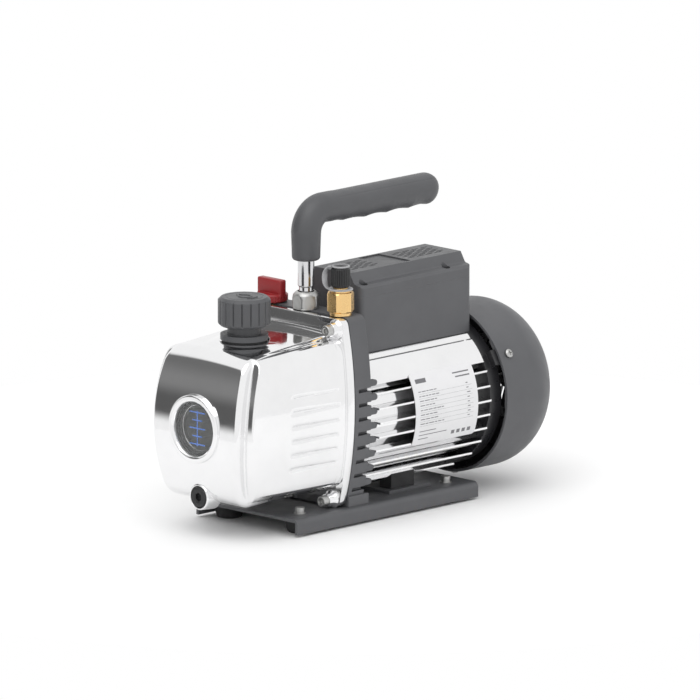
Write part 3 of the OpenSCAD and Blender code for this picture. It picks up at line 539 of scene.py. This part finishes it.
def flange_outline(w, z0, z1, r, n=220):
    """n evenly spaced points and outward normals of a barrel outline in the YZ plane."""

    def half(z):
        return w - (z - WIDEST_Z) ** 2 / BARREL

    pts = []
    for k in range(13):
        a = math.radians(-90 + 7.5 * k)
        pts.append((half(z0 + r) - r + r * math.cos(a), z0 + r + r * math.sin(a)))
    for k in range(1, 60):
        z = z0 + r + (z1 - z0 - 2 * r) * k / 60
        pts.append((half(z), z))
    for k in range(13):
        a = math.radians(7.5 * k)
        pts.append((half(z1 - r) - r + r * math.cos(a), z1 - r + r * math.sin(a)))
    pts += [(-y, z) for y, z in pts[::-1]]
    line = [Vector(p) for p in pts]
    length = [0.0]
    for i in range(len(line)):
        length.append(length[-1] + (line[(i + 1) % len(line)] - line[i]).length)
    out, total, i = [], length[-1], 0
    for k in range(n):
        s = total * k / n
        while length[i + 1] < s:
            i += 1
        a, b = line[i], line[(i + 1) % len(line)]
        out.append(a.lerp(b, (s - length[i]) / max(length[i + 1] - length[i], 1e-9)))
    res = []
    for k in range(n):
        d = (out[(k + 1) % n] - out[k - 1]).normalized()
        res.append((out[k].x, out[k].y, d.y, -d.x))
    return res


# ---------------------------------------------------------------- handle
GRIP_TAPER = 0.054  # how much thinner the grip's lower end is, as a share
GRIP_STEP = 0.8
GRIP_RING = 128


def grip_section(px, pz, a, radius, start, stop, r):
    """A ring round the grip's path at (px, pz), where the path has turned by a from upright.

    start and stop are the x of the upright leg and of the tip; r is the full radius.
    """
    row = []
    along = px - start
    straight = smooth(0.6, 1.0, a / (math.pi / 2))
    waves = float(smooth(22.0, 34.0, along) * smooth(stop - start + 4.0, stop - start - 6.0, along))
    phase = (along - 36.0) / 23.0
    wave = (abs((phase % 1.0) - 0.5) * 2) ** 1.7
    seams = float(smooth(24.0, 30.0, along))
    flatness = float(smooth(24.0, 34.0, along))
    belly = 0.17 * float(smooth(16.0, 52.0, along))
    for k in range(GRIP_RING):
        t = 2 * math.pi * k / GRIP_RING
        c, s = math.cos(t), math.sin(t)
        # finger waves under the grip
        under = max(0.0, -s) ** 1.5
        rr = radius - under * waves * 0.95 * (1 - wave) * straight
        # moulding seams, and the slight flat between them on top
        for seam in (math.radians(42), math.radians(138)):
            rr -= 0.3 * math.exp(-(((t - seam) * r / 0.42) ** 2)) * seams * straight
        flat = max(0.0, s - 0.74) / 0.26
        rr -= 0.35 * flat * flatness * straight
        # across the path, then up from it
        u, v = rr * c, rr * s * (1.0 + (belly if s < 0 else 0.0))
        row.append((px - v * math.cos(a), u, pz + v * math.sin(a)))
    return row


def handle_grip():
    lo, hi = box_mm("handle_grip")
    r = (hi.y - lo.y) / 2
    x0, tip, z_axis = lo.x + r, hi.x - r, hi.z - r
    bend = 17.0
    path = []
    z = lo.z
    while z < z_axis - bend:
        path.append((x0, z, 0.0))
        z += GRIP_STEP
    for k in range(37):
        a = math.radians(90 * k / 36)
        path.append((x0 + bend - bend * math.cos(a), z_axis - bend + bend * math.sin(a), a))
    x = x0 + bend + GRIP_STEP
    while x < tip:
        path.append((x, z_axis, math.pi / 2))
        x += GRIP_STEP

    def section(px, pz, a, radius):
        return grip_section(px, pz, a, radius, x0, tip, r)

    leg = []
    for px, pz, a in path:
        if a == 0.0 and pz < lo.z + 2.7:
            continue
        taper = 1.0 - GRIP_TAPER * float(smooth(26.0, 0.0, pz - lo.z)) * (a == 0.0)
        leg.append(section(px, pz, a, r * taper))
    # a rounded lower rim, closing on the bore
    rim, r_low = 2.6, r * (1.0 - GRIP_TAPER)
    lower = []
    for k in range(7):
        b = math.radians(90 * k / 6)
        lower.append(section(x0, lo.z + rim * (1 - math.sin(b)), 0.0, r_low - rim * (1 - math.cos(b))))
    bore = 6.3
    inner = [section(x0, lo.z, 0.0, bore), section(x0, lo.z + 22.0, 0.0, bore)]
    # a round tip
    end = []
    for k in range(1, 18):
        b = math.radians(5 * k)
        end.append(section(tip + r * math.sin(b), z_axis, math.pi / 2, max(r * math.cos(b), 0.05)))
    solid = Solid()
    solid.ring_rows(inner[::-1] + lower[::-1] + leg + end)
    solid.build("grip_moulding", "pump_body", "grey_plastic", "handle_grip", sharp=50)


def handle_rod():
    lo, hi = box_mm("handle_rod")
    nut_lo, nut_hi = box_mm("handle_nut")
    r = (hi.x - lo.x) / 2
    cx, cy, _ = middle(lo, hi)
    neck = nut_hi.z
    solid = Solid()
    solid.turned([(0.02, lo.z, 0), (3.5, lo.z, 0.5), (3.5, nut_lo.z + 1.2, 0.3), (r - 0.9, nut_lo.z + 1.2, 0.3),
                  (r - 0.9, neck + 3.2, 0.6), (r, neck + 4.4, 0.8), (r, hi.z, 0.5), (0.02, hi.z, 0)],
                 (cx, cy, 0), segs=96)
    solid.build("handle_steel_rod", "pump_body", "chrome_steel", "handle_rod")


def hexagon(flat, corner):
    """The radius, at an angle, of a hexagon with rounded corners; flat and corner are its radii there."""

    def at(t):
        a = (t + math.pi / 6) % (math.pi / 3) - math.pi / 6
        return min(flat / math.cos(a), corner + 0.12 * math.cos(6 * a))

    return at


def handle_nut():
    lo, hi = box_mm("handle_nut")
    cx, cy, _ = middle(lo, hi)
    big = hi.x - cx
    ring = hexagon(big * math.cos(math.pi / 6), big - 0.35)
    z0, z1 = lo.z, hi.z

    def shape(t, r, _):
        return min(r, ring(t)) if r > 7.5 else r

    dome = [(6.4, z1, 0), (7.2, z1, 0.3), (big - 2.3, z1 - 1.2, 0.8), (big - 1.1, z1 - 2.7, 0.8),
            (big - 0.4, z1 - 4.8, 0.8), (big, z1 - 7.0, 0.5)]
    skirt = [(big, z0 + 2.2, 0.5), (big - 0.7, z0 + 0.7, 0.5), (big - 1.1, z0, 0.3), (6.4, z0, 0)]
    solid = Solid()
    solid.turned(dome + skirt, (cx, cy, 0), shape=shape, segs=192, steps=6, loop=True)
    solid.build("domed_nut", "pump_body", "zinc_steel", "handle_nut", sharp=28)


# ---------------------------------------------------------------- oil filler and drain
def filler_cap():
    lo, hi = box_mm("filler_cap")
    cx, cy, _ = middle(lo, hi)
    r, top, base = (hi.x - lo.x) / 2, hi.z - 0.7, lo.z
    ribs = 18

    def shape(t, rr, h):
        if rr < r - 1.9 or not base + 1.0 < h < top - 1.0:
            return rr
        a = (t / (2 * math.pi) * ribs) % 1.0 - 0.5
        slot = math.exp(-((abs(a) - 0.5) / 0.055) ** 2)
        end = float(smooth(base + 1.2, base + 3.0, h) * smooth(top - 1.6, top - 3.2, h))
        return rr - (0.9 * slot + 0.45 * (a * 2) ** 2) * end

    solid = Solid()
    wall = [(r, base + step, 0) for step in (5, 8, 11, 14)]
    solid.turned([(12.6, base + 11.0, 0), (12.6, base, 0.2), (r - 2.3, base, 1.2), (r, base + 2.1, 1.0)] + wall
                 + [(r, top - 5, 0), (r, top - 2.3, 1.2), (r - 2.4, top, 0.9), (r - 5.0, top, 0),
                    (r - 5.3, top - 0.25, 0.1), (r - 6.0, top - 0.25, 0.1), (r - 6.3, top, 0),
                    (6, top, 0), (0.02, top, 0), (0.02, base + 11.0, 0)],
                 (cx, cy, 0), shape=shape, segs=432, loop=True)
    # a raised oil drop's outline, and two level lines under it
    outline, count = [], 64
    for k in range(count):
        t = 2 * math.pi * k / count
        pull = max(0.0, math.sin(t)) ** 6
        outline.append((4.6 * math.cos(t) * (1 - 0.55 * pull), 4.6 * math.sin(t) + 3.8 * pull - 1.0))
    rows = []
    for side, rise in ((0.75, -0.05), (0.75, 0.45), (0.5, 0.68), (-0.5, 0.68), (-0.75, 0.45), (-0.75, -0.05)):
        row = []
        for k in range(count):
            a, b = Vector(outline[k - 1]), Vector(outline[(k + 1) % count])
            d = (b - a).normalized()
            row.append((cx + outline[k][0] + d.y * side, cy + outline[k][1] - d.x * side, top + rise))
        rows.append(row)
    solid.ring_rows(rows, loop=True)
    for y, w in ((-8.6, 5.5), (-10.6, 3.2)):
        solid.block((-w, y - 0.45, top - 0.1), (w, y + 0.45, top + 0.6), 0.25, (cx, cy, 0))
    solid.build("ribbed_filler_cap", "filler_cap_body", "grey_plastic", "filler_cap", sharp=32)


def drain_plug():
    lo, hi = box_mm("drain_plug")
    _, cy, cz = middle(lo, hi)
    r = (hi.y - lo.y) / 2
    socket, socket_r = hexagon(2.95, 3.35), 3.4

    def shape(t, rr, _):
        return socket(t) if rr == socket_r else rr

    x0, x1 = lo.x, hi.x
    solid = Solid()
    solid.turned([(0.02, x0 + 3.2, 0), (socket_r, x0 + 3.0, 0), (socket_r, x0 + 0.45, 0), (4.3, x0, 0.3),
                  (r - 0.9, x0, 0.5), (r, x0 + 1.0, 0.5), (r, x0 + 3.5, 0.2), (4.4, x0 + 3.6, 0.1),
                  (4.4, x1 - 0.6, 0), (3.9, x1, 0), (0.02, x1, 0)],
                 (0, cy, cz), "X", shape=shape, segs=96)
    solid.build("socket_drain_plug", "drain_plug_body", "black_plastic", "drain_plug")


def socket_screw(solid, at, head_r, head_h, shank_r, length, key_r):
    """A socket-head screw that points along +X from its head's face at `at`."""
    key = hexagon(key_r * 0.866, key_r - 0.05)
    flutes = 36

    def shape(t, rr, _):
        if rr == key_r:
            return key(t)
        return rr - 0.1 if rr == head_r and int(t * flutes / math.pi) % 2 else rr

    solid.turned([(0.02, 2.6, 0), (key_r, 2.5, 0), (key_r, 0.3, 0), (key_r + 0.35, 0.0, 0.1),
                  (head_r - 0.5, 0.0, 0.2), (head_r, 0.6, 0), (head_r, head_h - 0.3, 0),
                  (head_r - 0.3, head_h, 0.1), (shank_r, head_h, 0.1), (shank_r, length - 0.5, 0),
                  (shank_r - 0.5, length, 0), (0.02, length, 0)],
                 at, "X", shape=shape, segs=72)


def tank_bolts():
    lo, hi = box_mm("tank_bolts")
    solid = Solid()
    for y, z in bolt_centres():
        socket_screw(solid, (lo.x, y, z), BOLT_HEAD_R, 5.0, 2.5, hi.x - lo.x, 2.3)
    solid.build("tank_socket_screws", "pump_body", "zinc_steel", "tank_bolts", sharp=30)


def sight_glass():
    lo, hi = box_mm("sight_glass")
    _, cy, cz = middle(lo, hi)
    r, back = (hi.y - lo.y) / 2, hi.x
    solid = Solid()
    solid.turned([(0.02, back - 1.5, 0), (r - 0.4, back - 1.5, 0), (r, back - 1.1, 0.1), (r, back - 0.1, 0),
                  (0.02, back - 0.05, 0)], (0, cy, cz), "X", segs=120)
    solid.build("sight_glass_pane", "pump_body", "clear_glass", "sight_glass")


# ---------------------------------------------------------------- inlet and gas ballast
def inlet_fitting():
    lo, hi = box_mm("inlet_fitting")
    cx, cy, _ = middle(lo, hi)
    big = (hi.x - lo.x) / 2
    ring = hexagon(big * math.cos(math.pi / 6), big - 0.3)
    z0 = lo.z + 5.0
    top = hi.z

    def shape(t, r, h):
        if z0 + 2.6 < h < z0 + 17.6 and r > 8.5:
            return min(r, ring(t))
        return r

    pitch = 1.27
    thread = []
    z = z0 + 20.6
    while z < top - 3.2:
        thread += [(5.15, z, 0), (5.5, z + pitch / 2, 0)]
        z += pitch
    solid = Solid()
    solid.turned([(2.4, lo.z, 0), (3.5, lo.z, 0.3), (3.5, z0, 0), (8.2, z0, 0.3), (8.2, z0 + 2.3, 0.3),
                  (8.9, z0 + 2.7, 0.2), (10.7, z0 + 3.6, 0.3), (10.7, z0 + 16.2, 0.3), (9.3, z0 + 17.5, 0.3),
                  (7.0, z0 + 17.5, 0.2), (7.0, z0 + 18.9, 0.2), (5.5, z0 + 19.2, 0)] + thread
                 + [(5.5, top - 2.6, 0.2), (3.2, top, 0.3), (2.4, top, 0)],
                 (cx, cy, 0), shape=shape, segs=144, loop=True)
    solid.build("brass_inlet", "pump_body", "brass", "inlet_fitting", sharp=28)


def inlet_cap():
    lo, hi = box_mm("inlet_cap")
    cx, cy, _ = middle(lo, hi)
    r = (hi.x - lo.x) / 2
    ribs = 24
    socket, socket_r = hexagon(2.7, 3.1), 3.2

    def shape(t, rr, h):
        if rr == socket_r:
            return socket(t)
        if rr >= r - 0.02 and lo.z + 1.4 < h < hi.z - 1.2:
            return rr - 0.62 * (1 - abs(math.cos(t * ribs / 2)) ** 0.7)
        return rr

    wall = [(r, lo.z + 1.5 + k * (hi.z - lo.z - 3.0) / 4, 0) for k in range(5)]
    solid = Solid()
    solid.turned([(5.65, lo.z + 10.0, 0), (5.65, lo.z, 0.1), (r - 0.9, lo.z, 0.3), (r - 0.35, lo.z + 0.5, 0.2),
                  (r - 0.3, lo.z + 1.3, 0)] + wall
                 + [(r - 0.35, hi.z - 1.3, 0), (r - 0.9, hi.z, 0.5), (3.9, hi.z, 0.2),
                    (socket_r, hi.z - 0.4, 0), (socket_r, hi.z - 3.1, 0),
                    (0.02, hi.z - 3.1, 0), (0.02, lo.z + 10.0, 0)],
                 (cx, cy, 0), shape=shape, segs=288, loop=True)
    solid.build("knurled_flare_cap", "inlet_cap_body", "black_plastic", "inlet_cap", sharp=32)


def tube_rows(path, half_w, half_t, flat, twist, n=16):
    """Rings of a flat rounded strap along a path.

    flat is the direction of its width at the ends, which turns by twist in the middle.
    """
    rows = []
    for i, p in enumerate(path):
        a, b = path[max(i - 1, 0)], path[min(i + 1, len(path) - 1)]
        d = (b - a).normalized()
        share = math.sin(math.pi * i / (len(path) - 1)) ** 2
        side = Matrix.Rotation(twist * share, 3, d) @ flat
        out = d.cross(side).normalized()
        row = []
        for k in range(n):
            t = 2 * math.pi * k / n
            c, s = math.cos(t), math.sin(t)
            u = math.copysign(abs(c) ** 0.5, c) * half_w
            v = math.copysign(abs(s) ** 0.7, s) * half_t
            row.append(tuple(p + side * u + out * v))
        rows.append(row)
    return rows


def inlet_cap_strap():
    lo, hi = box_mm("inlet_cap_strap")
    cx, cy, _ = middle(*box_mm("inlet_fitting"))
    solid = Solid()
    _, chi = box_mm("inlet_cap")
    low = [(5.75, lo.z, 0), (9.0, lo.z, 0.3), (9.4, lo.z + 0.6, 0.3), (9.0, lo.z + 1.2, 0.3),
           (5.75, lo.z + 1.2, 0)]
    # the upper ring lies on top of the cap, round its socket
    high = [(5.2, chi.z + 0.05, 0), (6.7, chi.z + 0.05, 0.3), (7.1, chi.z + 0.65, 0.3), (6.5, hi.z, 0.3),
            (5.4, hi.z, 0.2)]
    for profile in (low, high):
        solid.turned(profile, (cx, cy, 0), segs=96, loop=True)
    out = Vector((-1, 1, 0)).normalized()
    side = Vector((0, 0, 1)).cross(out).normalized()
    z0, z1 = lo.z + 0.6, chi.z + 0.65
    path = []
    for k in range(25):
        t = math.pi * k / 24
        reach = 6.9 + 4.9 * math.sin(t) ** 0.7
        z = (z0 + z1) / 2 - (z1 - z0) / 2 * math.cos(t)
        path.append(Vector((cx, cy, z)) + out * reach)
    solid.ring_rows(tube_rows(path, 2.3, 0.62, side, twist=math.radians(-62)))
    obj = solid.build("cap_tether", None, "strap_grey", "inlet_cap_strap")
    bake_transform(obj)


def gas_ballast_knob():
    lo, hi = box_mm("gas_ballast_knob")
    cx, cy, _ = middle(lo, hi)
    r = (hi.x - lo.x) / 2
    flutes = 30

    def shape(t, rr, _):
        return rr - 0.22 * (math.cos(t * flutes) > 0.6) if rr >= r - 0.1 else rr

    z0 = lo.z
    solid = Solid()
    solid.turned([(4.06, z0 + 5.4, 0), (4.06, z0 + 1.7, 0.1), (8.9, z0 + 1.7, 0.1), (8.9, z0, 0.1),
                  (r - 0.8, z0, 0.4), (r, z0 + 0.9, 0.3), (r, z0 + 4.9, 0.3), (r - 1.3, z0 + 6.0, 0.7),
                  (0.02, z0 + 6.0, 0), (0.02, z0 + 5.4, 0)], (cx, cy, 0), shape=shape, segs=180)
    solid.block((-3.2, lo.y - cy, z0 + 3.0), (3.2, hi.y - cy, hi.z), 1.3, (cx, cy, 0), steps=5)
    solid.build("ballast_blade_knob", "ballast_knob_body", "switch_red", "gas_ballast_knob", sharp=40)


# ---------------------------------------------------------------- nameplate
def nameplate():
    lo, hi = box_mm("nameplate")
    axis_z = middle(*box_mm("motor_shaft"))[2]
    r = abs(lo.y)
    a_top = math.asin((hi.z - axis_z) / r)
    a_low = math.asin((lo.z - axis_z) / r)
    solid = Solid()

    def on(x, a, lift):
        return (x, -(r + lift) * math.cos(a), axis_z + (r + lift) * math.sin(a))

    def patch(x0, x1, a0, a1, inner, outer, corner, slot, nx, na):
        """A curved plate with rounded corners; inner and outer are its faces' heights on the radius."""
        top, under = [], []
        for lift, bag in ((outer, top), (inner, under)):
            for i in range(na + 1):
                a = a0 + (a1 - a0) * i / na
                edge = min(i, na - i) / na * abs(a1 - a0) * r
                cut = corner - math.sqrt(max(corner ** 2 - max(corner - edge, 0.0) ** 2, 0.0))
                bag.append([on(x0 + cut + (x1 - x0 - 2 * cut) * j / nx, a, lift) for j in range(nx + 1)])
        base = len(solid.verts)
        w = nx + 1
        for bag in (top, under):
            for row in bag:
                solid.verts.extend(row)
        off = w * (na + 1)
        for i in range(na):
            for j in range(nx):
                q = [base + i * w + j, base + i * w + j + 1, base + (i + 1) * w + j + 1, base + (i + 1) * w + j]
                solid.faces.append(tuple(q))
                solid.faces.append(tuple(v + off for v in q[::-1]))
                solid.slots += [slot, slot]
        rim = [i * w for i in range(na + 1)] + [na * w + j for j in range(1, w)]
        rim += [i * w + nx for i in range(na - 1, -1, -1)] + [j for j in range(nx - 1, 0, -1)]
        for k in range(len(rim)):
            a, b = base + rim[k], base + rim[(k + 1) % len(rim)]
            solid.faces.append((a, b, b + off, a + off))
            solid.slots.append(slot)

    patch(lo.x, hi.x, a_low, a_top, -0.3, -0.03, 2.2, 0, 40, 60)
    rand = random.Random(7)

    def bar(x0, x1, a, tall):
        """A printed bar of ink."""
        d = tall / r / 2
        patch(x0, x1, a - d, a + d, -0.1, 0.0, 0.0, 1, max(2, int((x1 - x0) / 4)), 1)

    def at(share):
        """The angle at that share of the way down the plate."""
        return a_top + (a_low - a_top) * share

    left, right = lo.x + 4.5, hi.x - 5.0
    # a block and two bars for a heading, then rows of dashes with a value column, each over a fine rule
    bar(left, left + 11.0, at(0.115), 3.4)
    for k in range(2):
        bar(right - 17.0 + 2.0 * k, right, at(0.10 + 0.055 * k), 1.0)
    for row in range(8):
        a = at(0.26 + 0.062 * row)
        x = left + 0.6
        stop = left + rand.uniform(16.0, 27.0)
        while x < stop:
            w = rand.uniform(2.0, 5.5)
            bar(x, min(x + w, stop), a, 0.62)
            x += w + 0.8
        bar(right - 6.0, right - 6.0 + rand.uniform(2.0, 3.6), a, 0.62)
        bar(left, right, at(0.26 + 0.062 * row + 0.031), 0.12)
    # three lines of small print and a row of square marks
    for row, w in ((0, 18.0), (1, 30.0), (2, 11.0)):
        bar(left + 0.6, left + w, at(0.80 + 0.055 * row), 0.6)
    for k in range(4):
        x = right - 21.0 + 5.6 * k
        bar(x, x + 3.4, at(0.90), 3.0)
    solid.build("rating_plate", "pump_body", "label", "nameplate", looks=["label", "label_ink"], sharp=30)


# ---------------------------------------------------------------- stage
def floor():
    """A round floor, small enough for the sky's dark wall to reach below the horizon."""
    bm = bmesh.new()
    bmesh.ops.create_circle(bm, cap_ends=True, radius=0.5, segments=192)
    mesh = bpy.data.meshes.new("floor")
    bm.to_mesh(mesh)
    bm.free()
    obj = bpy.data.objects.new("floor", mesh)
    bpy.context.scene.collection.objects.link(obj)
    net = Net("pale_floor")
    tone = net.blend(net.ramp(net.noise(3.0), 0.0, 1.0), 0.9, 0.92)
    net.put(net.shader, {"Base Color": tone, "Roughness": 0.85,
                         "Normal": net.bump(net.noise(700.0), 0.02 * MM)})
    mesh.materials.append(net.mat)


def sky():
    """A white surround with one dark wall, which the tank's front and the steps beside it mirror."""
    world = bpy.data.worlds.new("studio")
    bpy.context.scene.world = world
    world.use_nodes = True
    net = Nodes(world.node_tree)
    out = net.add("ShaderNodeOutputWorld")
    back = net.add("ShaderNodeBackground")
    net.link(back.outputs[0], out.inputs[0])
    way = net.add("ShaderNodeTexCoord").outputs["Generated"]

    def window(value, edge, core):
        node = net.add("ShaderNodeMapRange", interpolation_type="SMOOTHSTEP")
        net.put(node, {0: value, 1: edge, 2: core})
        return node.outputs[0]

    def along(*axis):
        node = net.add("ShaderNodeVectorMath", operation="DOT_PRODUCT")
        net.put(node, {0: way, 1: axis})
        return node.outputs["Value"]

    def both(a, b):
        return net.math("MULTIPLY", a, b)

    def card(azimuth, half, low, high):
        """0 outside an upright card in that direction, 1 in its middle; all in degrees."""
        a = math.radians(azimuth)
        ahead = window(along(math.cos(a), math.sin(a), 0.0), 0.0, 0.1)
        beside = net.math("ABSOLUTE", along(-math.sin(a), math.cos(a), 0.0))
        half, low, high = [[math.sin(math.radians(v)) for v in pair] for pair in (half, low, high)]
        rise = along(0.0, 0.0, 1.0)
        width = window(beside, half[1], half[0])
        height = both(window(rise, low[0], low[1]), window(rise, high[1], high[0]))
        return both(ahead, both(width, height))

    def mix(share, a, b):
        node = net.add("ShaderNodeMix")
        net.put(node, {0: share, 2: a, 3: b})
        return node.outputs[0]

    # the wall is lightest in the middle of its height, so its image fades like the photo's
    wall = mix(window(along(0.0, 0.0, 1.0), 0.04, 0.17), 0.11, 0.235)
    wall = mix(window(along(0.0, 0.0, 1.0), 0.2, 0.33), wall, 0.165)
    where = card(134.0, half=(24.0, 30.0), low=(-9.0, -4.0), high=(38.0, 43.0))
    net.put(back, {"Strength": mix(where, 1.0, wall), "Color": (1.0, 1.0, 1.0, 1.0)})


def lamp(name, toward, size, power):
    """A sun lamp: toward points at it, and size is its width in degrees."""
    data = bpy.data.lights.new(name, "SUN")
    data.energy, data.angle = power, math.radians(size)
    obj = bpy.data.objects.new(name, data)
    obj.rotation_mode = "QUATERNION"
    obj.rotation_quaternion = Vector(toward).to_track_quat("Z", "Y")
    bpy.context.scene.collection.objects.link(obj)


def camera():
    """The photo's view, fitted to it: a long lens from far off."""
    data = bpy.data.cameras.new("camera")
    data.sensor_width = 36.0
    data.lens = 1021.7
    data.clip_start, data.clip_end = 1.0, 300.0
    target, distance = Vector((-0.0370, -0.0353, 0.1287)), 14.716
    back = Vector((-0.6954, -0.6886, 0.2059)).normalized()
    obj = bpy.data.objects.new("camera", data)
    obj.location = target + back * distance
    obj.rotation_mode = "QUATERNION"
    obj.rotation_quaternion = back.to_track_quat("Z", "Y")
    bpy.context.scene.collection.objects.link(obj)
    bpy.context.scene.camera = obj


camera()
floor()
sky()
lamp("key", (-0.4, -0.12, 0.9), 60, 0.95)
bpy.context.scene.view_settings.view_transform = "Standard"

for row in frame["record"]["subparts"]:
    dress(row["node"], row["material_slot"])

oil_tank()
sight_glass()
tank_bolts()
handle_grip()
handle_rod()
handle_nut()
filler_cap()
drain_plug()
inlet_fitting()
inlet_cap()
inlet_cap_strap()
gas_ballast_knob()
nameplate()
